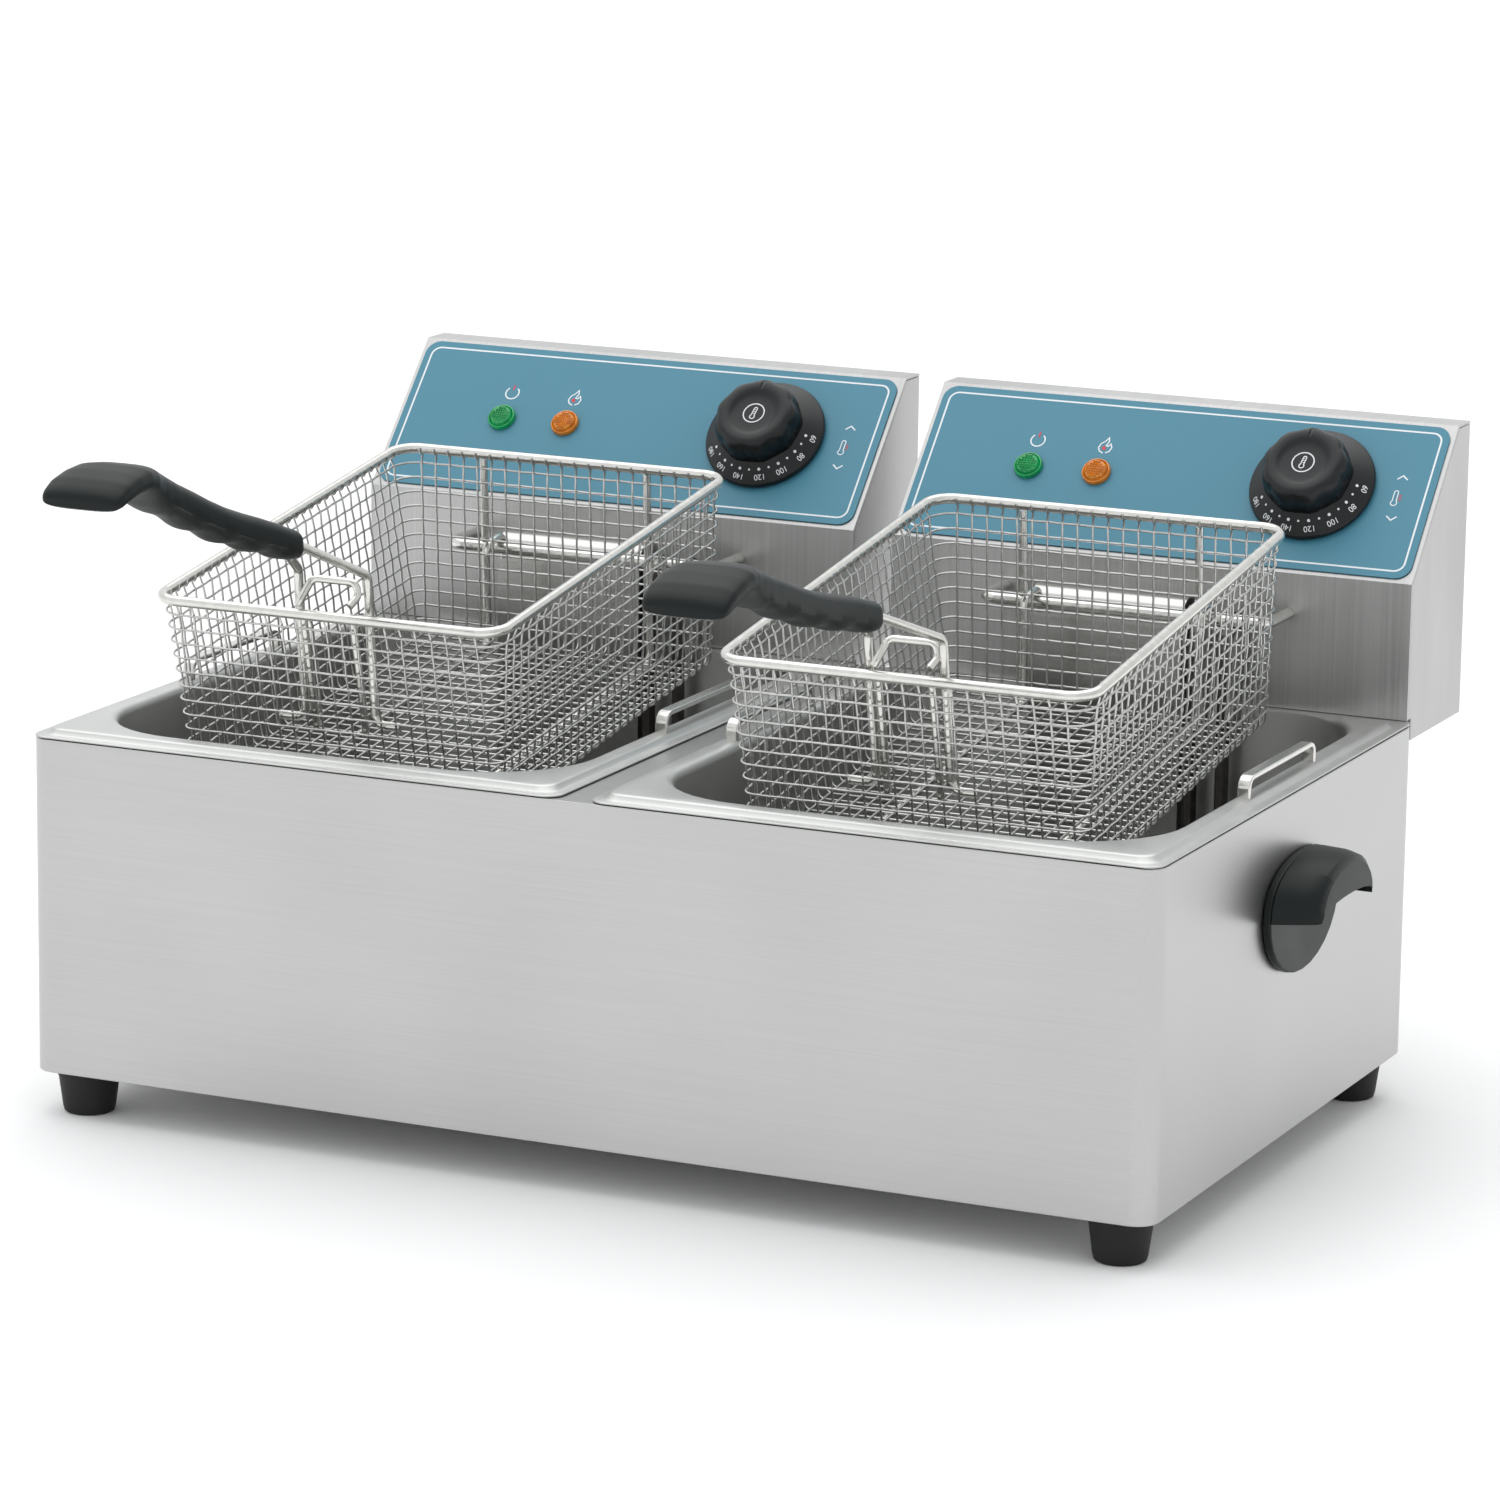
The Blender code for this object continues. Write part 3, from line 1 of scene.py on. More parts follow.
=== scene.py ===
"""The look of a twin countertop deep fryer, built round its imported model.
Metres, +Z up, +X to the user's right, +Y towards the back."""

import math

import bmesh
import bpy
from mathutils import Matrix, Vector


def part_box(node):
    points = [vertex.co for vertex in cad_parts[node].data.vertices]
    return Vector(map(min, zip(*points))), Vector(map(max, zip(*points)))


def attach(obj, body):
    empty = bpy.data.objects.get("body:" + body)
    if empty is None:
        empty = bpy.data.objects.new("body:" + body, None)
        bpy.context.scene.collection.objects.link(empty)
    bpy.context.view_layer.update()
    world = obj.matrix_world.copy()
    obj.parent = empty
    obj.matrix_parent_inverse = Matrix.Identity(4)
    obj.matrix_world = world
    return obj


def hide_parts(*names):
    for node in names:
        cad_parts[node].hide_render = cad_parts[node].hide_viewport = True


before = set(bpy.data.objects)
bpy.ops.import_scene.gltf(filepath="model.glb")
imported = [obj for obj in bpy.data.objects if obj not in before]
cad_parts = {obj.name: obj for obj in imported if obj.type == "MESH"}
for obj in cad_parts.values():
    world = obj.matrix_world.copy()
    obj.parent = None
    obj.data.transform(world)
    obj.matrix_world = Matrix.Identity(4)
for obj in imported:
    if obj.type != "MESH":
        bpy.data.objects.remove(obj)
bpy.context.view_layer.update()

# ---- sizes, in metres ---------------------------------------------------------------------------
# Y is counted from the casing's front face here, and FRONT moves it to its place.
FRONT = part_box("housing")[0].y
DECK_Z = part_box("housing")[1].z
BEAD = 0.003
RIM_TOP_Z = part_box("left_tank")[1].z - BEAD
SIDES = {"left": -1, "right": 1}
UNIT_X = (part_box("right_tank")[0].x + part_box("right_tank")[1].x) / 2
RIM_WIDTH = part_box("right_tank")[1].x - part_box("right_tank")[0].x
RIM_BACK_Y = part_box("right_tank")[1].y - FRONT
FIT = 0.0003
SHEET = 0.001

head_low, head_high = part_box("right_head_front")
HEAD_WIDTH = head_high.x - head_low.x
HEAD_FRONT_Y = head_low.y - FRONT
HEAD_TOP_DEPTH = 0.0169
PANEL_LOW_Z = DECK_Z + 0.0672
PANEL_RISE = head_high.z - PANEL_LOW_Z
PANEL_RUN = head_high.y - head_low.y - HEAD_TOP_DEPTH
PANEL_ANGLE = math.atan2(PANEL_RISE, PANEL_RUN)
PANEL_LENGTH = math.hypot(PANEL_RISE, PANEL_RUN)
LABEL_TOP = FIT + 0.0005
LABEL_MARGIN = 0.0022
LABEL_CORNER = 0.0075
INK = 0.0001
INK_SUNK = 0.00002
GREEN_LAMP_X = 0.0587 - HEAD_WIDTH / 2
LAMP_PITCH = 0.0355
LAMPS_X = {"green_lamp": GREEN_LAMP_X, "amber_lamp": GREEN_LAMP_X + LAMP_PITCH}
LAMP_BARREL = 0.0055
DIAL_PLACE = (0.0714, 0.0482)
SKIRT_RADIUS = 0.0308
SKIRT_SHOULDER = 0.0212
CAP_RADIUS = 0.0220
CAP_TOP = 0.0223
CROWN_DISH = 0.0014

RAIL_Y = HEAD_FRONT_Y - 0.032
RAIL_Z = DECK_Z + 0.0478
RAIL_RADIUS = 0.0028
RAIL_WIDTH = 0.145
guard_low, guard_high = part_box("right_element_guard")
GUARD_X = (guard_low.x - UNIT_X, guard_high.x - UNIT_X)
GUARD_FRONT_Y = guard_low.y - FRONT
GUARD_BEND = 0.011

RIM_SIDE = 0.0165
MOUTH_ROLL = 0.0040
FLOOR_ROUND = 0.012
OPENING_WIDTH = RIM_WIDTH - 2 * RIM_SIDE
OPENING_FRONT_Y = 0.018
OPENING_CORNER = 0.050
OPENING_BACK_Y = 0.325
TANK_FLOOR_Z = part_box("left_tank")[0].z + SHEET

BASKET_WIDTH = OPENING_WIDTH - 0.0614
BASKET_FRONT_Y = 0.035
BASKET_FRONT_Z = DECK_Z + 0.0638
BASKET_TILT = math.radians(8.0)
BASKET_LENGTH = (RAIL_Y - 0.0196 - BASKET_FRONT_Y) / math.cos(BASKET_TILT)
BASKET_HEIGHT = 0.095
BASKET_TAPER = 0.008
BASKET_CORNER = 0.012
MESH_WIRE = 0.00055
MESH_ROW = 0.0072
MESH_FIRST_ROW = MESH_ROW
MESH_ROWS = 12
MESH_ACROSS = 20
MESH_ALONG = 29
MESH_INSET = 0.0008
MESH_CRIMP = 0.00025
MESH_STEP = 0.0004
FLOOR_BEND = 0.0050
RIM_WIRE = 0.0025
HOOK_WIRE = 0.0020
HOOK_X = (RAIL_WIDTH - 0.056) / 2
BRACKET_WIRE = 0.0018
HANDLE_WIRE = 0.0022
HANDLE_HALF = 0.018
GRIP_END_HALF = 0.0045
PIVOT_DROP = 0.0536
PIVOT_IN = BASKET_TAPER * PIVOT_DROP / BASKET_HEIGHT + 0.0047
GRIP_COLLAR = (-0.035, 0.041)
GRIP_LENGTH = 0.178
SCALLOP = 0.0016
SCALLOP_PITCH = 0.027
HANDLE_RAISED = {"left": math.radians(4.2), "right": 0.0}

# ---- finishes -----------------------------------------------------------------------------------


def linear(code):
    """An sRGB hex colour as linear light."""
    channels = [int(code[i : i + 2], 16) / 255 for i in (1, 3, 5)]
    light = [c / 12.92 if c <= 0.04045 else ((c + 0.055) / 1.055) ** 2.4 for c in channels]
    return (*light, 1.0)


def repeats(size_mm):
    """A pattern's scale, in repeats per metre, from the real size of one repeat."""
    return 1000 / size_mm


def add_node(tree, kind, sockets=None, **settings):
    """Adds a node. A socket given another node's output is linked, and other values are set."""
    made = tree.nodes.new(kind)
    for key, value in settings.items():
        setattr(made, key, value)
    for key, value in (sockets or {}).items():
        if isinstance(value, bpy.types.NodeSocket):
            tree.links.new(value, made.inputs[key])
        else:
            made.inputs[key].default_value = value
    return made


def start_finish(name, **sockets):
    """A new material with its shader's fixed values set, and the place its patterns follow."""
    made = bpy.data.materials.new(name)
    made.use_nodes = True
    tree = made.node_tree
    shader = tree.nodes["Principled BSDF"]
    for key, value in sockets.items():
        shader.inputs[key.replace("_", " ")].default_value = value
    place = add_node(tree, "ShaderNodeTexCoord").outputs["Object"]
    return made, tree, shader, place


def varied(tree, shader, factor, dark, light, smooth, rough):
    """Colour and roughness that both follow one pattern."""
    mix = add_node(tree, "ShaderNodeMix", {"Factor": factor, 6: dark, 7: light}, data_type="RGBA")
    tree.links.new(mix.outputs[2], shader.inputs["Base Color"])
    spread = add_node(
        tree, "ShaderNodeMapRange", {"Value": factor, "To Min": smooth, "To Max": rough}
    )
    tree.links.new(spread.outputs[0], shader.inputs["Roughness"])


def bumped(tree, shader, height, distance):
    """A surface that rises and falls with a pattern, by a distance in metres."""
    bump = add_node(tree, "ShaderNodeBump", {"Height": height, "Distance": distance})
    tree.links.new(bump.outputs[0], shader.inputs["Normal"])


def brushed_sheet(name, grain, dark, light, smooth, rough, depth=0.00001):
    """Stainless sheet brushed along one axis, its grain's size in mm along X, Y and Z. The real
    lines are 0.1 mm apart, and are drawn coarser so that they show, under slow bands 110 mm across
    where the belt pressed harder."""
    made, tree, shader, place = start_finish(name, Metallic=1.0)
    scale = [repeats(size) for size in grain]
    stretch = add_node(tree, "ShaderNodeMapping", {"Vector": place, "Scale": scale})
    lines = add_node(
        tree, "ShaderNodeTexNoise", {"Vector": stretch.outputs[0], "Scale": 1.0, "Detail": 4.0}
    )
    bands = add_node(
        tree, "ShaderNodeTexNoise", {"Vector": place, "Scale": repeats(110), "Detail": 1.0}
    )
    both = add_node(
        tree, "ShaderNodeMath", {0: lines.outputs[0], 1: bands.outputs[0]}, operation="ADD"
    )
    level = add_node(
        tree, "ShaderNodeMapRange", {"Value": both.outputs[0], "From Min": 0.6, "From Max": 1.4}
    )
    varied(tree, shader, level.outputs[0], linear(dark), linear(light), smooth, rough)
    bumped(tree, shader, lines.outputs[0], depth)
    return made


def plated(name, dark, light, smooth, rough):
    """Plated or heat-tinted steel rod: faint draw marks and clouds about 4.5 mm across."""
    made, tree, shader, place = start_finish(name, Metallic=1.0)
    cloud = add_node(
        tree, "ShaderNodeTexNoise", {"Vector": place, "Scale": repeats(4.5), "Detail": 3.0}
    )
    varied(tree, shader, cloud.outputs[0], linear(dark), linear(light), smooth, rough)
    bumped(tree, shader, cloud.outputs[0], 0.00003)
    return made


def moulded(name, dark, light, smooth, rough, grain=0.67, depth=0.00004, gloss=0.5):
    """Moulded plastic: satin from a fine spark-eroded tool, its grain in mm drawn coarser than the
    real 0.1 mm so that it shows, with a slow change of sheen over about 33 mm."""
    made, tree, shader, place = start_finish(name, IOR=1.5, Specular_IOR_Level=gloss)
    slow = add_node(
        tree, "ShaderNodeTexNoise", {"Vector": place, "Scale": repeats(33), "Detail": 2.0}
    )
    varied(tree, shader, slow.outputs[0], linear(dark), linear(light), smooth, rough)
    fine = add_node(
        tree, "ShaderNodeTexNoise", {"Vector": place, "Scale": repeats(grain), "Detail": 2.0}
    )
    bumped(tree, shader, fine.outputs[0], depth)
    return made


# Casing: 304 sheet with a fine belt grain along X, an even soft silver.
CASING_STEEL = brushed_sheet(
    "fine_brushed_casing_steel", (83, 0.55, 0.55), "#B8B8B7", "#C4C4C3", 0.32, 0.40
)
# Heads: the same sheet with a coarser upright grain, which breaks reflections into streaks.
HEAD_STEEL = brushed_sheet(
    "upright_brushed_head_steel", (1.1, 33, 125), "#ACACAB", "#C6C6C5", 0.34, 0.46, 0.00002
)
# Covers: plain cold-rolled sheet with hardly any grain, so it mirrors light and dark softly.
COVER_STEEL = brushed_sheet(
    "cold_rolled_cover_steel", (83, 2.5, 2.5), "#BDBCB9", "#C9C8C5", 0.20, 0.27
)
# Tanks: deep-drawn and left with its mill finish, an even soft grey with no grain lines.
TANK_STEEL = brushed_sheet(
    "deep_drawn_tank_steel", (17, 17, 17), "#C2C3C1", "#CCCDCB", 0.38, 0.46
)
# Wires: nickel plate over drawn steel. Rods are the brightest metal here, and mesh a little duller.
MESH_STEEL = plated("nickel_plated_mesh_wire", "#BDBDBB", "#D6D6D3", 0.18, 0.30)
ROD_STEEL = plated("nickel_plated_rod", "#CBCAC5", "#E8E7E3", 0.12, 0.26)
# Heating tube: alloy sheath browned by heat.
HEATED_TUBE = plated("heat_darkened_alloy_sheath", "#4A4744", "#6B6763", 0.35, 0.50)
# Grips: glass-filled nylon, dark green-grey with a satin moulded skin.
GRIP_NYLON = moulded("satin_green_grey_nylon", "#0B1111", "#111817", 0.36, 0.48, gloss=0.24)
# Knobs: black phenolic, satin with a soft highlight.
KNOB_PHENOLIC = moulded(
    "satin_black_phenolic", "#080B0D", "#0D1113", 0.28, 0.40, 0.83, gloss=0.4
)
# Feet: matt black rubber.
FOOT_RUBBER = moulded("matt_black_rubber", "#040405", "#090909", 0.60, 0.75, 1.1, 0.00008)
# Labels: satin polycarbonate film printed teal on its back.
LABEL_FILM = moulded(
    "teal_printed_polycarbonate", "#44849A", "#4A899F", 0.38, 0.46, 0.45, 0.00002
)
# Inks: flat screen ink on the film and pad-printed ink on the knob, an even matt white and red.
WHITE_INK = moulded("white_screen_ink", "#E4EBEF", "#F0F4F6", 0.45, 0.55)
RED_INK = moulded("red_screen_ink", "#D6323C", "#E03C46", 0.45, 0.55)
DIAL_INK = moulded("white_pad_printed_ink", "#DDE2E4", "#EEF1F2", 0.45, 0.55)
# Terminals and thermostat bodies: cream steatite with a thin glaze.
CERAMIC = moulded("glazed_cream_steatite", "#DCD3BE", "#E8E0CE", 0.35, 0.50)
# Reset buttons: glossier red moulding, which picks out the one thing to press at the back.
RED_CAP = moulded("red_moulded_reset_cap", "#A81713", "#B81E19", 0.32, 0.40)


def lens(name, dark, light):
    """Moulded tinted acrylic: glossy, its colour deeper and lighter in patches 3.8 mm across."""
    made, tree, shader, place = start_finish(
        name, IOR=1.49, Coat_Weight=0.3, Coat_Roughness=0.05
    )
    cloud = add_node(
        tree, "ShaderNodeTexNoise", {"Vector": place, "Scale": repeats(3.8), "Detail": 1.0}
    )
    varied(tree, shader, cloud.outputs[0], linear(dark), linear(light), 0.06, 0.14)
    return made


LENSES = {
    "green_lamp": (lens("green_tinted_acrylic", "#007A3E", "#00B562"), "green_lens"),
    "amber_lamp": (lens("amber_tinted_acrylic", "#B05A00", "#F0961A"), "amber_lens"),
}

# ---- outlines and paths -------------------------------------------------------------------------


def arc(centre, radius, start, end, steps):
    """Points on an arc in a plane, angles in degrees."""
    angles = [math.radians(start + (end - start) * i / steps) for i in range(steps + 1)]
    return [(centre[0] + radius * math.cos(a), centre[1] + radius * math.sin(a)) for a in angles]


def rounded_rectangle(width, depth, corner, middle=(0.0, 0.0), steps=8):
    """A closed outline with round corners, anticlockwise from its right side."""
    x = width / 2 - corner
    y = depth / 2 - corner
    points = []
    for sx, sy, start in ((1, 1, 0), (-1, 1, 90), (-1, -1, 180), (1, -1, 270)):
        points += arc((middle[0] + sx * x, middle[1] + sy * y), corner, start, start + 90, steps)
    return points


def offset(points, distance):
    """An open line of points moved to the left of its direction."""
    normals = []
    for (ax, ay), (bx, by) in zip(points, points[1:]):
        length = math.hypot(bx - ax, by - ay)
        normals.append((-(by - ay) / length, (bx - ax) / length))
    moved = []
    for i, (x, y) in enumerate(points):
        before = normals[max(i - 1, 0)]
        after = normals[min(i, len(normals) - 1)]
        share = distance / (1 + before[0] * after[0] + before[1] * after[1])
        moved.append((x + (before[0] + after[0]) * share, y + (before[1] + after[1]) * share))
    return moved


def stroke(points, width):
    """The outline of a pen line along open points."""
    return offset(points, width / 2) + offset(points, -width / 2)[::-1]


def rounded_path(points, radius, steps=6):
    """A path through points in space with its inner corners rounded."""
    path = [Vector(points[0])]
    for before, corner, after in zip(points, points[1:], points[2:]):
        corner = Vector(corner)
        back = Vector(before) - corner
        ahead = Vector(after) - corner
        half = back.angle(ahead) / 2
        if math.degrees(half) > 89.5:
            path.append(corner)
            continue
        reach = min(radius / math.tan(half), back.length * 0.49, ahead.length * 0.49)
        start = corner + back.normalized() * reach
        end = corner + ahead.normalized() * reach
        middle = (start + end) / 2
        centre = corner + (middle - corner).normalized() * (reach / math.cos(half))
        for i in range(steps + 1):
            spoke = (start - centre).normalized().slerp((end - centre).normalized(), i / steps)
            path.append(centre + spoke * reach * math.tan(half))
    path.append(Vector(points[-1]))
    return path


# ---- making pieces ------------------------------------------------------------------------------


def settle(name, data, finish, body, replaced=(), place=None):
    """Puts a new piece in the scene at its place, in its finish, on its body."""
    made = bpy.data.objects.new(name, data)
    bpy.context.scene.collection.objects.link(made)
    if place:
        data.transform(place)
    data.materials.append(finish)
    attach(made, body)
    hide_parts(*replaced)
    return made


def wires(name, paths, radius, finish, body, replaced=(), place=None, closed=False, sides=3):
    """Round wires along paths, as one piece."""
    curve = bpy.data.curves.new(name, "CURVE")
    curve.dimensions = "3D"
    curve.bevel_depth = radius
    curve.bevel_resolution = sides
    curve.use_fill_caps = not closed
    for path in paths:
        spline = curve.splines.new("POLY")
        spline.points.add(len(path) - 1)
        for point, where in zip(spline.points, path):
            point.co = (*where, 1)
        spline.use_cyclic_u = closed
        spline.use_smooth = True
    return settle(name, curve, finish, body, replaced, place)


def loft(name, rings, close_first=True, close_last=True, angle=40):
    """A smooth skin through rings of points that all have the same count."""
    form = bmesh.new()
    rows = [[form.verts.new(point) for point in ring] for ring in rings]
    for low, high in zip(rows, rows[1:]):
        for i in range(len(low)):
            j = (i + 1) % len(low)
            form.faces.new((low[i], low[j], high[j], high[i]))
    if close_first:
        form.faces.new(rows[0])
    if close_last:
        form.faces.new(rows[-1])
    bmesh.ops.recalc_face_normals(form, faces=form.faces)
    mesh = bpy.data.meshes.new(name)
    form.to_mesh(mesh)
    form.free()
    mesh.shade_smooth()
    mesh.set_sharp_from_angle(angle=math.radians(angle))
    return mesh


def turned(name, profile, steps=64, angle=40):
    """A (radius, height) profile turned about Z, closed on the axis at both ends."""
    turns = [2 * math.pi * i / steps for i in range(steps)]
    rings = [[(r * math.cos(a), r * math.sin(a), z) for a in turns] for r, z in profile]
    return loft(name, rings, angle=angle)


def printed(name, outlines, low, thickness):
    """Flat ink shapes, as one mesh, standing a hair above the face they are printed on."""
    curve = bpy.data.curves.new(name, "CURVE")
    curve.dimensions = "2D"
    curve.fill_mode = "BOTH"
    curve.extrude = thickness / 2
    for outline in outlines:
        spline = curve.splines.new("POLY")
        spline.points.add(len(outline) - 1)
        for point, (x, y) in zip(spline.points, outline):
            point.co = (x, y, 0, 1)
        spline.use_cyclic_u = True
    return as_mesh(name, curve, low + thickness / 2)


def as_mesh(name, curve, height):
    """A curve or a word turned into a mesh, lifted to a height."""
    holder = bpy.data.objects.new(name, curve)
    bpy.context.scene.collection.objects.link(holder)
    bpy.context.view_layer.update()
    graph = bpy.context.evaluated_depsgraph_get()
    mesh = bpy.data.meshes.new_from_object(holder.evaluated_get(graph))
    bpy.data.objects.remove(holder)
    form = bmesh.new()
    form.from_mesh(mesh)
    bmesh.ops.remove_doubles(form, verts=form.verts, dist=1e-7)
    form.to_mesh(mesh)
    form.free()
    mesh.transform(Matrix.Translation((0, 0, height)))
    return mesh


def joined(name, meshes):
    """Several meshes made one."""
    form = bmesh.new()
    for mesh in meshes:
        form.from_mesh(mesh)
    mesh = bpy.data.meshes.new(name)
    form.to_mesh(mesh)
    form.free()
    return mesh


def eased(node, finish, body, width, segments=3):
    """A sheet or moulded part with its bends rounded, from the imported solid's own faces."""
    name = f"{node}_eased"
    form = bmesh.new()
    form.from_mesh(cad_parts[node].data)
    bmesh.ops.remove_doubles(form, verts=form.verts, dist=2e-6)
    bmesh.ops.dissolve_limit(
        form, angle_limit=math.radians(1.5), verts=form.verts, edges=form.edges
    )
    mesh = bpy.data.meshes.new(name)
    form.to_mesh(mesh)
    form.free()
    mesh.materials.clear()
    mesh.shade_smooth()
    made = settle(name, mesh, finish, body, [node])
    bend = made.modifiers.new("bends", "BEVEL")
    bend.width = width
    bend.segments = segments
    bend.limit_method = "ANGLE"
    bend.angle_limit = math.radians(40)
    even = made.modifiers.new("flat faces stay flat", "WEIGHTED_NORMAL")
    even.keep_sharp = True
    return made


def unit_place(x):
    """A fryer unit's own place: its middle, at the casing's front."""
    return Matrix.Translation((x, FRONT, 0))


# ---- casing -------------------------------------------------------------------------------------


def make_casing():
    """The casing and base with their bends eased, and four tapered feet, hollow below."""
    eased("housing", CASING_STEEL, "machine", 0.0008)
    eased("base_plate", CASING_STEEL, "machine", 0.0003, 1)
    profile = [
        (0.0150, 0.0212),
        (0.0150, 0.0185),
        (0.0143, 0.0172),
        (0.0124, 0.0030),
        (0.0118, 0.0008),
        (0.0105, 0.0),
        (0.0050, 0.0),
        (0.0045, 0.0020),
    ]
    for end in ("front", "rear"):
        for side in SIDES:
            low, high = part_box(f"foot_{end}_{side}")
            place = Matrix.Translation(((low.x + high.x) / 2, (low.y + high.y) / 2, 0))
            node = f"foot_{end}_{side}"
            foot = turned(f"rubber_{node}", profile, 48, 30)
            settle(f"rubber_{node}", foot, FOOT_RUBBER, "machine", [node], place)


def make_side_handles():
    """The carry handles, their moulded edges rounded."""
    for name in SIDES:
        for part in ("plate", "hood"):
            node = f"{name}_handle_{part}"
            width = 0.0012 if part == "plate" else 0.0018
            eased(node, GRIP_NYLON, "machine", width, 4)


# ---- tanks --------------------------------------------------------------------------------------


def tank_ring(width, front, back, corner, height, rear_height, end_y):
    """One ring of the pan's skin. Behind end_y, where the head sits, its height can differ."""
    points = rounded_rectangle(width, back - front, corner, (0, (front + back) / 2), steps=10)
    last = min(end_y, back - corner - 0.001)
    before = last - 0.0045
    half = width / 2
    count = len(points) // 2
    points = [
        (half, before),
        (half, last),
        *points[:count],
        (-half, last),
        (-half, before),
        *points[count:],
    ]
    return [(x, y, rear_height if y > end_y - 0.00225 else height) for x, y in points]


def make_tank(name, x):
    """A pressed pan: turned edge, rounded border bead, rolled mouth, rounded floor, and straps."""
    top = RIM_TOP_Z
    end_y = HEAD_FRONT_Y - 0.0135
    border = [(0.0, top - 0.0006), (0.0003, top - 0.0001), (0.0008, top), (0.0040, top)]
    border += [(0.0050, top + 0.0006), (0.0060, top + 0.0022), (0.0066, top + 0.0028)]
    border.append((0.0075, top + BEAD))
    rings = []
    for inset, height in border:
        width = RIM_WIDTH - 2 * inset
        ends = (inset + FIT, RIM_BACK_Y - inset * 0.3, 0.009 - inset * 0.2)
        rings.append(tank_ring(width, *ends, height, min(height, top), end_y))
    roll_z = top + BEAD - MOUTH_ROLL
    draft = 0.0015
    mouth = arc((RIM_SIDE - MOUTH_ROLL, roll_z), MOUTH_ROLL, 90, 0, 6)
    low = (RIM_SIDE + draft + FLOOR_ROUND, TANK_FLOOR_Z + FLOOR_ROUND)
    mouth += arc(low, FLOOR_ROUND, 180, 270, 6)
    for inset, height in mouth:
        past = inset - RIM_SIDE
        width = RIM_WIDTH - 2 * inset
        ends = (OPENING_FRONT_Y + past, OPENING_BACK_Y - past, OPENING_CORNER - past)
        rings.append(tank_ring(width, *ends, height, min(height, top), end_y))
    mesh = loft(f"{name}_pressed_pan", rings, False, True, 50)
    pan = settle(
        f"{name}_pressed_pan",
        mesh,
        TANK_STEEL,
        f"{name}_pan",
        [f"{name}_tank"],
        unit_place(x),
    )
    skin = pan.modifiers.new("sheet", "SOLIDIFY")
    skin.thickness = SHEET
    skin.offset = -1
    for place in ("inner", "outer"):
        node = f"{name}_tank_handle_{place}"
        eased(node, ROD_STEEL, f"{name}_{place}_strap", 0.0008, 3)


# ---- heads --------------------------------------------------------------------------------------


def panel_place(x):
    """Where the sloping panel starts, with Z square to it and Y up it."""
    place = Matrix.Translation((x, FRONT + HEAD_FRONT_Y, PANEL_LOW_Z))
    return place @ Matrix.Rotation(PANEL_ANGLE, 4, "X")


def make_head_sheets(name):
    """The folded front and the cover, their bends eased."""
    body = f"{name}_head"
    eased(f"{name}_head_front", HEAD_STEEL, body, 0.0003, 2)
    eased(f"{name}_head_cover", HEAD_STEEL, body, 0.0006, 2)


def label_outline(inset, corner):
    """The label's edge, or a line at an inset from it."""
    margin = 2 * (LABEL_MARGIN + inset)
    middle = (0, PANEL_LENGTH / 2)
    return rounded_rectangle(HEAD_WIDTH - margin, PANEL_LENGTH - margin, corner, middle)


def make_label(name, x):
    """The printed film over the sloping face, cut out round the lamps and the knob's spindle."""
    cut = LAMP_BARREL + FIT
    outlines = [label_outline(0.0, LABEL_CORNER), arc(DIAL_PLACE, 0.0060, 354, 0, 59)]
    outlines += [arc((at_x, PANEL_LENGTH / 2), cut, 354, 0, 59) for at_x in LAMPS_X.values()]
    film = printed(f"{name}_label_film", outlines, FIT, LABEL_TOP - FIT)
    settle(
        f"{name}_label_film",
        film,
        LABEL_FILM,
        f"{name}_head",
        [f"{name}_control_label"],
        panel_place(x),
    )


def make_guard(name, x):
    """A bent cover over the tubes: out of the head's face, round and down into the tank."""
    bend = (GUARD_FRONT_Y + GUARD_BEND, guard_high.z - GUARD_BEND)
    line = [(GUARD_FRONT_Y, guard_low.z), *arc(bend, GUARD_BEND, 180, 90, 12)]
    line.append((HEAD_FRONT_Y - FIT, guard_high.z))
    outline = line + offset(line, -SHEET)[::-1]
    rings = [[(px, y, z) for y, z in outline] for px in GUARD_X]
    mesh = loft(f"{name}_tube_cover", rings, True, True, 30)
    body = f"{name}_head"
    node = f"{name}_element_guard"
    settle(f"{name}_tube_cover", mesh, COVER_STEEL, body, [node], unit_place(x))


def power_icon():
    """White ring with a gap, and the red bar in it."""
    ring = arc((0, 0), 0.0036, -230, 50, 24)
    return [stroke(ring, 0.0007)], [stroke([(0, 0.0018), (0, 0.0048)], 0.0007)]


def flame_icon():
    """White flame line, and its red heart."""
    left = [(-0.0004, -0.0042), (-0.0024, -0.0032), (-0.0034, -0.0012), (-0.0026, 0.0012)]
    left += [(-0.0008, 0.0026), (0.0006, 0.0048), (0.0012, 0.0026), (0.0002, 0.0002)]
    left += [(0.0014, -0.0002), (0.0024, 0.0014), (0.0034, -0.0008), (0.0026, -0.0030)]
    left += [(0.0008, -0.0040)]
    heart = [(-0.0018, -0.0012), (-0.0004, 0.0002), (0.0002, -0.0012), (0.0006, -0.0024)]
    return [stroke(left, 0.0006)], [heart + [(-0.0010, -0.0022)]]


def thermometer_outline(scale=1.0):
    """A closed line round a thermometer: round bulb below, narrow stem above."""
    bulb = arc((0, -0.0030), 0.0017, 130, 410, 14)
    stem = arc((0, 0.0036), 0.0011, 0, 180, 8)
    return [(x * scale, y * scale) for x, y in bulb + stem]


def ring_of(outline, width):
    """A closed pen line: an outer outline and the hole inside it."""
    loop = outline + outline[:2]
    outer = offset(loop, -width / 2)[:-1]
    inner = offset(loop, width / 2)[:-1]
    return [outer[1:], inner[1:][::-1]]


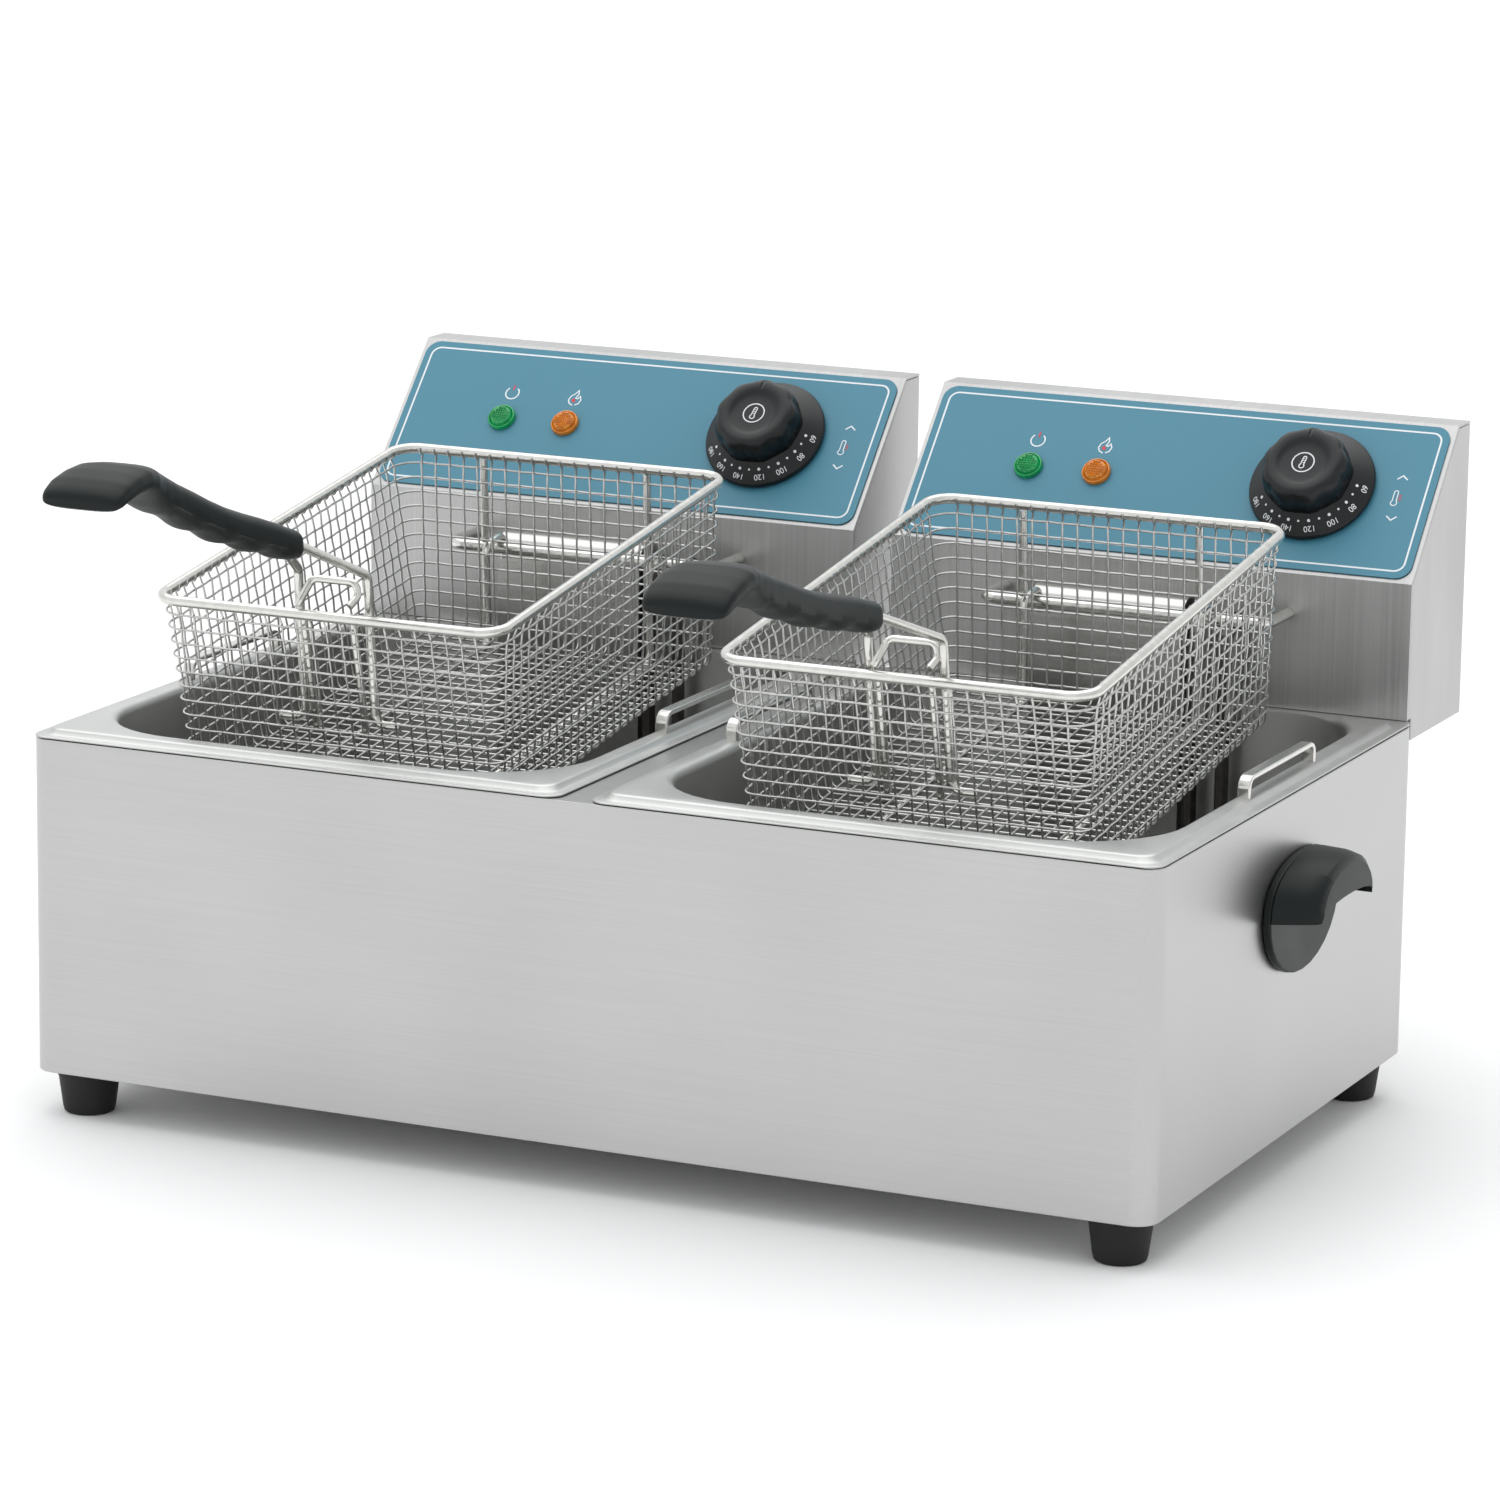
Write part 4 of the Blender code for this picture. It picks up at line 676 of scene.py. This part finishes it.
def shifted(outlines, x, y, angle=0.0):
    """Outlines turned and moved."""
    c, s = math.cos(angle), math.sin(angle)
    return [[(x + px * c - py * s, y + px * s + py * c) for px, py in o] for o in outlines]


def make_print(name, x):
    """The ink on the label: a border line and the symbols for power, heating and temperature."""
    white = [label_outline(0.0034, 0.0052), label_outline(0.0043, 0.0043)[::-1]]
    red = []
    for outlines, at_x, at_y in (
        (power_icon(), -0.0743, 0.0611),
        (flame_icon(), -0.0389, 0.0612),
    ):
        white += shifted(outlines[0], at_x, at_y)
        red += shifted(outlines[1], at_x, at_y)
    white += shifted(ring_of(thermometer_outline(0.9), 0.0005), 0.1128, 0.0465)
    for at_y, sign in ((0.0582, 1), (0.0352, -1)):
        chevron = [(-0.0026, -0.0010 * sign), (0, 0.0012 * sign), (0.0026, -0.0010 * sign)]
        white += shifted([stroke(chevron, 0.0007)], 0.1138, at_y)
    for step in (-0.0008, 0.0004, 0.0016):
        red += shifted([stroke([(0.0018, step), (0.0030, step)], 0.0005)], 0.1128, 0.0465)
    for ink, outlines, finish in (("white", white, WHITE_INK), ("red", red, RED_INK)):
        title = f"{name}_{ink}_label_print"
        mesh = printed(title, outlines, LABEL_TOP - INK_SUNK, INK)
        settle(title, mesh, finish, f"{name}_head", (), panel_place(x))


def make_lamp(name, kind, x, at_x):
    """A snap-in lamp: rounded bezel, a groove, and a lens cut into small pyramids."""
    finish, slot = LENSES[kind]
    seat = LABEL_TOP + FIT
    profile = [
        (LAMP_BARREL, seat - 0.0195),
        (LAMP_BARREL, seat),
        (0.0072, seat),
        (0.0072, seat + 0.0012),
        (0.0069, seat + 0.0020),
        (0.0063, seat + 0.0022),
        (0.0059, seat + 0.0016),
        (0.0057, seat + 0.0022),
        (0.0052, seat + 0.0031),
        (0.0046, seat + 0.0034),
    ]
    bezel = turned("bezel", profile, 40, 30)
    pitch = 0.00135
    form = bmesh.new()
    for i in range(-3, 4):
        for j in range(-3, 4):
            px, py = i * pitch, j * pitch
            if math.hypot(px, py) > 0.0046:
                continue
            place = Matrix.Translation((px, py, seat + 0.0037))
            place = place @ Matrix.Rotation(math.radians(45), 4, "Z")
            bmesh.ops.create_cone(
                form,
                cap_ends=True,
                segments=4,
                radius1=pitch * 0.69,
                radius2=pitch * 0.12,
                depth=0.0008,
                matrix=place,
            )
    pyramids = bpy.data.meshes.new("pyramids")
    form.to_mesh(pyramids)
    form.free()
    mesh = joined(f"{name}_{kind}_lens", [bezel, pyramids])
    place = panel_place(x) @ Matrix.Translation((at_x, PANEL_LENGTH / 2, 0))
    settle(f"{name}_{kind}_lens", mesh, finish, f"{name}_head", [f"{name}_{kind}"], place)


def lobe_radius(a, scale, depth):
    """The cap's radius at an angle: nine soft lobes that flatten towards the crown."""
    wave = abs(math.sin(a * 4.5)) ** 1.3
    return CAP_RADIUS * scale - depth * (1 - wave)


def make_knob(name, x):
    """The knob: scalloped cap with a dished crown and pointer groove, on a sloping dial."""
    seat = LABEL_TOP + 0.0008
    steps = 180
    turns = [2 * math.pi * i / steps for i in range(steps)]
    top = seat + CAP_TOP
    levels = [
        (0.97, 0.0009, seat + 0.0080),
        (1.00, 0.0013, seat + 0.0098),
        (0.985, 0.0014, top - 0.0070),
        (0.965, 0.0014, top - 0.0040),
        (0.930, 0.0011, top - 0.0022),
        (0.870, 0.0006, top - 0.0009),
        (0.800, 0.0002, top - 0.0002),
        (0.740, 0.0, top),
        (0.620, 0.0, top - 0.0001),
        (0.580, 0.0, top - 0.0004),
        (0.540, 0.0, top - 0.0010),
        (0.470, 0.0, top - 0.0013),
        (0.300, 0.0, top - CROWN_DISH),
    ]
    rings = []
    for scale, depth, z in levels:
        ring = []
        for a in turns:
            radius = lobe_radius(a + math.pi / 2, scale, depth)
            groove = 0.0
            near = abs((a - math.pi / 2 + math.pi) % (2 * math.pi) - math.pi)
            if near * radius < 0.0007 and radius > 0.0145 and z > top - 0.0045:
                groove = 0.0008
            ring.append((radius * math.cos(a), radius * math.sin(a), z - groove))
        rings.append(ring)
    cap = loft("cap", rings, True, True, 35)
    skirt = turned(
        "skirt",
        [
            (0.0290, seat),
            (0.0304, seat + 0.0002),
            (SKIRT_RADIUS, seat + 0.0008),
            (SKIRT_RADIUS, seat + 0.0024),
            (0.0304, seat + 0.0031),
            (0.0298, seat + 0.0035),
            (SKIRT_SHOULDER, seat + 0.0091),
            (0.0100, seat + 0.0091),
        ],
        96,
        25,
    )
    mesh = joined(f"{name}_knob_form", [cap, skirt])
    place = panel_place(x) @ Matrix.Translation((*DIAL_PLACE, 0))
    body = f"{name}_dial"
    node = f"{name}_knob"
    settle(f"{name}_scalloped_knob", mesh, KNOB_PHENOLIC, body, [node], place)
    crown = top - CROWN_DISH
    marks = [arc((0, 0), 0.0057, 0, 354, 59), arc((0, 0), 0.0051, 0, 354, 59)[::-1]]
    stick = ring_of(thermometer_outline(0.72), 0.0005)
    marks += shifted(stick, 0, 0, math.radians(-8))
    for step in (0.0002, 0.0014, 0.0026):
        marks += shifted([stroke([(-0.0002, step), (0.0005, step)], 0.0003)], 0, -0.0004)
    mesh = printed(f"{name}_knob_symbol", marks, crown - INK_SUNK, 0.00012)
    settle(f"{name}_knob_symbol", mesh, DIAL_INK, body, (), place)
    make_dial_marks(name, body, place, seat)


def make_dial_marks(name, body, place, seat):
    """White dots and temperatures round the dial's slope, upright when they reach the top."""
    slope = math.atan2(0.0056, -0.0086)
    tip = Matrix.Rotation(math.pi - slope, 4, "Y")
    upright = Matrix.Rotation(math.radians(-90), 4, "Z")
    meshes = []
    for i in range(13):
        angle = math.radians(-4.0 - 12.0 * i)
        out = Matrix.Rotation(angle, 4, "Z")
        numbered = i % 2 == 0
        radius = 0.00075 if numbered else 0.00055
        dot = printed("dot", [arc((0, 0), radius, 0, 345, 23)], 0.0, 0.00012)
        dot.transform(out @ Matrix.Translation((0.0243, 0, seat + 0.00713)) @ tip)
        meshes.append(dot)
        if numbered:
            words = bpy.data.curves.new("number", "FONT")
            words.body = str(60 + 10 * i)
            words.size = 0.0040
            words.align_x = "CENTER"
            words.align_y = "CENTER"
            words.extrude = 0.00006
            number = as_mesh("number", words, 0.00006)
            lie = Matrix.Translation((0.0275, 0, seat + 0.00505)) @ tip
            number.transform(out @ lie @ upright)
            meshes.append(number)
    mesh = joined(f"{name}_dial_marks", meshes)
    settle(f"{name}_dial_marks", mesh, DIAL_INK, body, (), place)


def give(node, finish):
    """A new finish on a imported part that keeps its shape."""
    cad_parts[node].material_slots[0].material = finish


def make_head_fittings(name, x):
    """The basket rail, the gland and reset button behind, and finishes for the parts inside."""
    body = f"{name}_head"
    half = RAIL_WIDTH / 2
    root = HEAD_FRONT_Y - FIT
    corners = [(-half, root), (-half, RAIL_Y), (half, RAIL_Y), (half, root)]
    rail = rounded_path([(px, py, RAIL_Z) for px, py in corners], 0.009)
    wires(
        f"{name}_basket_rail",
        [rail],
        RAIL_RADIUS,
        ROD_STEEL,
        body,
        [f"{name}_drain_rail"],
        unit_place(x),
        sides=4,
    )
    give(f"{name}_heating_element", HEATED_TUBE)
    give(f"{name}_sensing_bulb", ROD_STEEL)
    for part in ("thermostat", "limit_cutout", "terminal_block"):
        give(f"{name}_{part}", CERAMIC)
    eased(f"{name}_cable_gland", KNOB_PHENOLIC, body, 0.0004, 2)
    eased(f"{name}_reset_button", RED_CAP, f"{name}_reset", 0.0006, 3)


# ---- baskets ------------------------------------------------------------------------------------
# Basket pieces are made round the middle of the front rim, with it level, and tilted together.


def basket_place(x):
    """The middle of the front rim, tilted as the basket hangs."""
    place = Matrix.Translation((x, FRONT + BASKET_FRONT_Y, BASKET_FRONT_Z))
    return place @ Matrix.Rotation(BASKET_TILT, 4, "X")


def wall_line(inset):
    """Points round the basket at an inset: place, way out, and whether an upright stands there."""
    flat_x = BASKET_WIDTH / 2 - BASKET_CORNER
    low = BASKET_CORNER
    high = BASKET_LENGTH - BASKET_CORNER
    out = BASKET_CORNER - inset
    walls = (
        ((-flat_x, low), (flat_x, low), (0, -1), MESH_ACROSS),
        ((flat_x, low), (flat_x, high), (1, 0), MESH_ALONG),
        ((flat_x, high), (-flat_x, high), (0, 1), MESH_ACROSS),
        ((-flat_x, high), (-flat_x, low), (-1, 0), MESH_ALONG),
    )
    points = []
    for side, (start, end, way, count) in enumerate(walls):
        for i in range(count + 1):
            px = start[0] + (end[0] - start[0]) * i / count + way[0] * out
            py = start[1] + (end[1] - start[1]) * i / count + way[1] * out
            points.append((px, py, *way, True))
        for i in range(1, 6):
            a = math.radians(-90 + 90 * side + 15 * i)
            c, s = math.cos(a), math.sin(a)
            points.append((end[0] + out * c, end[1] + out * s, c, s, False))
    return points


def wall_wires(rows):
    """Level hoops outside and uprights inside, crimped a little where they cross."""
    lines = [wall_line(BASKET_TAPER * drop / BASKET_HEIGHT + MESH_INSET) for drop in rows]
    hoops = []
    for i, (drop, line) in enumerate(zip(rows, lines)):
        hoop = []
        for j, (px, py, nx, ny, crossed) in enumerate(line):
            crimp = MESH_CRIMP * (1 if (i + j) % 2 else -1) if crossed else 0.0
            push = MESH_STEP + crimp
            hoop.append((px + nx * push, py + ny * push, -drop))
        hoops.append(hoop)
    uprights = []
    reach = RIM_WIRE + MESH_WIRE * 0.6
    for j, (px, py, nx, ny, crossed) in enumerate(wall_line(0.0)):
        if not crossed:
            continue
        path = []
        for turn in (160, 195, 230, 265):
            a = math.radians(turn)
            aside = reach * math.cos(a)
            path.append((px + nx * aside, py + ny * aside, reach * math.sin(a)))
        for i, (drop, line) in enumerate(zip(rows, lines)):
            qx, qy = line[j][:2]
            push = MESH_CRIMP * (-1 if (i + j) % 2 else 1) - MESH_STEP
            path.append((qx + nx * push, qy + ny * push, -drop))
        uprights.append(path)
    return hoops, uprights


def floor_path(down, up, level):
    """One wire down a wall, across the floor with rounded bends, and up the opposite wall."""
    start, end = Vector(down[-1]), Vector(up[-1])
    across = (end - start).normalized()
    corners = [start, Vector((start.x, start.y, level)), Vector((end.x, end.y, level)), end]
    corners[1] += across * 0.0006
    corners[2] -= across * 0.0006
    bends = rounded_path(corners, FLOOR_BEND, 5)
    return [*down, *bends[1:-1], *reversed(up)]


def make_basket(name, x):
    """The woven basket: wires down the walls and over the floor, hoops, and the rim rod."""
    place = basket_place(x)
    body = f"{name}_basket"
    rows = [MESH_FIRST_ROW + MESH_ROW * i for i in range(MESH_ROWS)]
    hoops, uprights = wall_wires(rows)
    turn = MESH_ACROSS + 1
    half = turn + MESH_ALONG + 1
    front, right = uprights[:turn], uprights[turn:half]
    rear, left = uprights[half : half + turn], uprights[half + turn :]
    floor = -BASKET_HEIGHT + 0.0014
    crossing = [floor_path(a, b, floor + 0.0008) for a, b in zip(front, reversed(rear))]
    crossing += [floor_path(a, b, floor) for a, b in zip(right, reversed(left))]
    wires(
        f"{name}_woven_basket",
        crossing,
        MESH_WIRE,
        MESH_STEEL,
        body,
        [f"{name}_basket_tray"],
        place,
        sides=2,
    )
    wires(
        f"{name}_basket_hoops",
        hoops,
        MESH_WIRE,
        MESH_STEEL,
        body,
        (),
        place,
        True,
        sides=2,
    )
    outline = rounded_rectangle(
        BASKET_WIDTH, BASKET_LENGTH, BASKET_CORNER, (0, BASKET_LENGTH / 2), 14
    )
    wires(
        f"{name}_basket_rim_rod",
        [[(px, py, 0) for px, py in outline]],
        RIM_WIRE,
        ROD_STEEL,
        body,
        [f"{name}_basket_rim"],
        place,
        True,
        sides=6,
    )
    make_hooks(name, body, place)
    make_bracket(name, body, place)
    make_handle(name, x)


def to_basket(y, z):
    """A machine place in the basket's own frame, before the tilt."""
    dy = y - BASKET_FRONT_Y
    dz = z - BASKET_FRONT_Z
    return (
        dy * math.cos(BASKET_TILT) + dz * math.sin(BASKET_TILT),
        -dy * math.sin(BASKET_TILT) + dz * math.cos(BASKET_TILT),
    )


def make_hooks(name, body, place):
    """Two hooks over the head's rail, joined by one wire down the rear wall and under the floor."""
    rail_y, rail_z = to_basket(RAIL_Y, RAIL_Z)
    away = RAIL_RADIUS + HOOK_WIRE + 2 * FIT
    clear = HOOK_WIRE + 0.0008
    apex = rail_z + away
    upper = BASKET_LENGTH + BASKET_TAPER * apex / BASKET_HEIGHT + clear
    lower = BASKET_LENGTH - BASKET_TAPER + clear
    under = -BASKET_HEIGHT - clear
    rear = [(rail_y + away, apex - 0.012), (rail_y + away, apex), (upper, apex), (lower, under)]
    front = BASKET_TAPER + 0.030
    path = [(-HOOK_X, y, z) for y, z in rear] + [(-HOOK_X, front, under), (HOOK_X, front, under)]
    path += [(HOOK_X, y, z) for y, z in reversed(rear)]
    hooks = rounded_path(path, away, 8)
    rods = []
    for sign in (-1, 1):
        top = (sign * HOOK_X, BASKET_LENGTH + clear - 0.0004, -RIM_WIRE - 0.001)
        rods.append([top, (sign * HOOK_X, upper, apex + 0.002)])
    wires(
        f"{name}_basket_hooks",
        [hooks, *rods],
        HOOK_WIRE,
        ROD_STEEL,
        body,
        [f"{name}_basket_hanger"],
        place,
        sides=4,
    )


def make_bracket(name, body, place):
    """The arch welded on the front rim that the handle's wires lean on, its right end curled."""
    base = RIM_WIRE + BRACKET_WIRE + FIT
    leg = [(-0.013, 0, base), (-0.012, 0.001, base + 0.002), (-0.009, 0.0085, 0.015)]
    curl = [(0.0135, 0.0085, 0.0150), (0.0150, 0.0070, 0.0090), (0.0130, 0.0015, base + 0.001)]
    arch = rounded_path(leg + curl, 0.004, 6)
    stays = []
    for sign in (-1, 1):
        drop = PIVOT_DROP + 0.004
        lean = BASKET_TAPER * drop / BASKET_HEIGHT
        stay_x = sign * 0.0128
        stays.append([(stay_x, 0.0042, -0.003), (stay_x, lean + 0.0045, -drop)])
    wires(
        f"{name}_rest_bracket",
        [arch, *stays],
        BRACKET_WIRE,
        ROD_STEEL,
        body,
        [f"{name}_handle_bracket"],
        place,
        sides=4,
    )


def make_handle(name, x):
    """The folding handle: one bent wire, and the long grip moulded over its closed end."""
    body = f"{name}_basket_handle"
    place = basket_place(x) @ Matrix.Translation((0, PIVOT_IN, -PIVOT_DROP))
    place = place @ Matrix.Rotation(-HANDLE_RAISED[name], 4, "X")
    shoulder = (0.0062 - PIVOT_IN, 0.0180 + PIVOT_DROP)
    collar = (GRIP_COLLAR[0] - PIVOT_IN, GRIP_COLLAR[1] + PIVOT_DROP)
    leg = [(0.031, 0, 0), (HANDLE_HALF, 0, 0), (HANDLE_HALF, *shoulder)]
    leg += [(GRIP_END_HALF, *collar), (GRIP_END_HALF, collar[0] - 0.020, collar[1] + 0.007)]
    path = [(-px, py, pz) for px, py, pz in leg] + leg[::-1]
    wires(
        f"{name}_handle_rod",
        [rounded_path(path, 0.005, 7)],
        HANDLE_WIRE,
        ROD_STEEL,
        body,
        [f"{name}_handle_wire"],
        place,
        sides=5,
    )
    make_grip(name, body, place, collar)


# How the grip goes, from its collar out: distance out, rise, half width and half thickness.
GRIP_SPINE = (
    (0.000, 0.0000, 0.0084, 0.0065),
    (0.002, 0.0005, 0.0090, 0.0071),
    (0.008, 0.0022, 0.0094, 0.0077),
    (0.020, 0.0068, 0.0098, 0.0082),
    (0.035, 0.0124, 0.0100, 0.0085),
    (0.050, 0.0180, 0.0102, 0.0085),
    (0.065, 0.0240, 0.0105, 0.0085),
    (0.080, 0.0308, 0.0105, 0.0087),
    (0.095, 0.0382, 0.0105, 0.0090),
    (0.108, 0.0445, 0.0106, 0.0090),
    (0.118, 0.0500, 0.0112, 0.0088),
    (0.126, 0.0545, 0.0124, 0.0084),
    (0.133, 0.0585, 0.0148, 0.0074),
    (0.140, 0.0618, 0.0178, 0.0066),
    (0.148, 0.0640, 0.0195, 0.0058),
    (0.158, 0.0640, 0.0200, 0.0054),
    (0.168, 0.0625, 0.0200, 0.0053),
    (0.174, 0.0606, 0.0196, 0.0046),
    (0.1772, 0.0594, 0.0186, 0.0034),
    (GRIP_LENGTH, 0.0590, 0.0172, 0.0022),
)


def grip_value(out, index):
    """The spine's value at a distance along the grip."""
    for low, high in zip(GRIP_SPINE, GRIP_SPINE[1:]):
        if out <= high[0]:
            share = (out - low[0]) / (high[0] - low[0])
            return low[index] + (high[index] - low[index]) * share
    return GRIP_SPINE[-1][index]


def make_grip(name, body, place, collar):
    """Rounded back, finger scallops underneath with a ledge above, and a broad thumb paddle."""
    rings = []
    steps = 120
    for i in range(steps + 1):
        out = GRIP_LENGTH * (i / steps)
        rise, wide, thick = (grip_value(out, column) for column in (1, 2, 3))
        begun = max(0.0, min(1.0, (out - 0.010) / 0.006))
        ended = max(0.0, min(1.0, (0.120 - out) / 0.006))
        stem = begun * ended
        wave = math.cos(2 * math.pi * (out - 0.012) / SCALLOP_PITCH)
        scallop = SCALLOP * stem * (0.5 - 0.5 * wave)
        ring = []
        for k in range(32):
            a = 2 * math.pi * k / 32
            c, s = math.cos(a), math.sin(a)
            px = wide * math.copysign(abs(c) ** 0.62, c)
            pz = thick * math.copysign(abs(s) ** 0.62, s)
            if s < -0.2:
                px -= math.copysign(0.0014 * stem, px) if abs(px) > 0.002 else 0.0
                pz += scallop
            ring.append((px, collar[0] - out, collar[1] + rise + pz))
        rings.append(ring)
    mesh = loft(f"{name}_grip_form", rings, True, True, 60)
    settle(
        f"{name}_moulded_grip",
        mesh,
        GRIP_NYLON,
        body,
        [f"{name}_grip"],
        place,
    )


# ---- stage --------------------------------------------------------------------------------------


def make_floor():
    """A plain pale floor, matt, with a faint drift of tone over about 1.7 m."""
    form = bmesh.new()
    bmesh.ops.create_grid(form, x_segments=2, y_segments=2, size=12.0)
    mesh = bpy.data.meshes.new("studio_floor")
    form.to_mesh(mesh)
    form.free()
    floor = bpy.data.objects.new("studio_floor", mesh)
    bpy.context.scene.collection.objects.link(floor)
    paint, tree, shader, place = start_finish("matt_white_floor", Specular_IOR_Level=0.1)
    cloud = add_node(tree, "ShaderNodeTexNoise", {"Vector": place, "Scale": repeats(1700)})
    varied(tree, shader, cloud.outputs[0], linear("#FAFAFA"), linear("#FDFDFD"), 0.8, 0.9)
    mesh.materials.append(paint)


def make_light():
    """An even white studio, a little darker to the right, with a broad soft light overhead."""
    world = bpy.data.worlds.new("studio")
    bpy.context.scene.world = world
    world.use_nodes = True
    tree = world.node_tree
    way = add_node(tree, "ShaderNodeTexCoord").outputs["Generated"]
    axes = add_node(tree, "ShaderNodeSeparateXYZ", {"Vector": way})
    fade = add_node(
        tree,
        "ShaderNodeMapRange",
        {
            "Value": axes.outputs["X"],
            "From Min": -0.2,
            "From Max": 0.9,
            "To Min": 1.0,
            "To Max": 0.78,
        },
    )
    sky = tree.nodes["Background"]
    sky.inputs["Color"].default_value = linear("#FAFBFC")
    tree.links.new(fade.outputs[0], sky.inputs["Strength"])

    light = bpy.data.lights.new("overhead_softbox", "SUN")
    light.angle = math.radians(70)
    light.energy = 1.1
    lamp = bpy.data.objects.new("overhead_softbox", light)
    bpy.context.scene.collection.objects.link(lamp)
    lamp.rotation_euler = (math.radians(-14), math.radians(-12), 0)
    bpy.context.scene.view_settings.view_transform = "Standard"


def make_camera():
    """A long lens from the front and right, a little above, turned by yaw, pitch and roll."""
    yaw, pitch, roll = -0.43014, -0.21957, 0.01325
    ahead = Vector(
        (math.sin(yaw) * math.cos(pitch), math.cos(yaw) * math.cos(pitch), math.sin(pitch))
    )
    level = Vector((math.cos(yaw), -math.sin(yaw), 0))
    over = level.cross(ahead)
    right = level * math.cos(roll) + over * math.sin(roll)
    up = over * math.cos(roll) - level * math.sin(roll)
    data = bpy.data.cameras.new("camera")
    data.sensor_width = 36.0
    data.lens = 152.47
    data.clip_end = 50.0
    camera = bpy.data.objects.new("camera", data)
    bpy.context.scene.collection.objects.link(camera)
    turn = Matrix((right, up, -ahead)).transposed().to_4x4()
    camera.matrix_world = Matrix.Translation((1.21725, -2.46291 + FRONT, 0.81774)) @ turn
    bpy.context.scene.camera = camera


# ---- the whole machine --------------------------------------------------------------------------
make_floor()
make_light()
make_camera()
make_casing()
make_side_handles()
for side_name, sign in SIDES.items():
    middle_x = sign * UNIT_X
    make_tank(side_name, middle_x)
    make_head_sheets(side_name)
    make_guard(side_name, middle_x)
    make_print(side_name, middle_x)
    make_label(side_name, middle_x)
    for lamp_kind, lamp_x in LAMPS_X.items():
        make_lamp(side_name, lamp_kind, middle_x, lamp_x)
    make_knob(side_name, middle_x)
    make_head_fittings(side_name, middle_x)
    make_basket(side_name, middle_x)
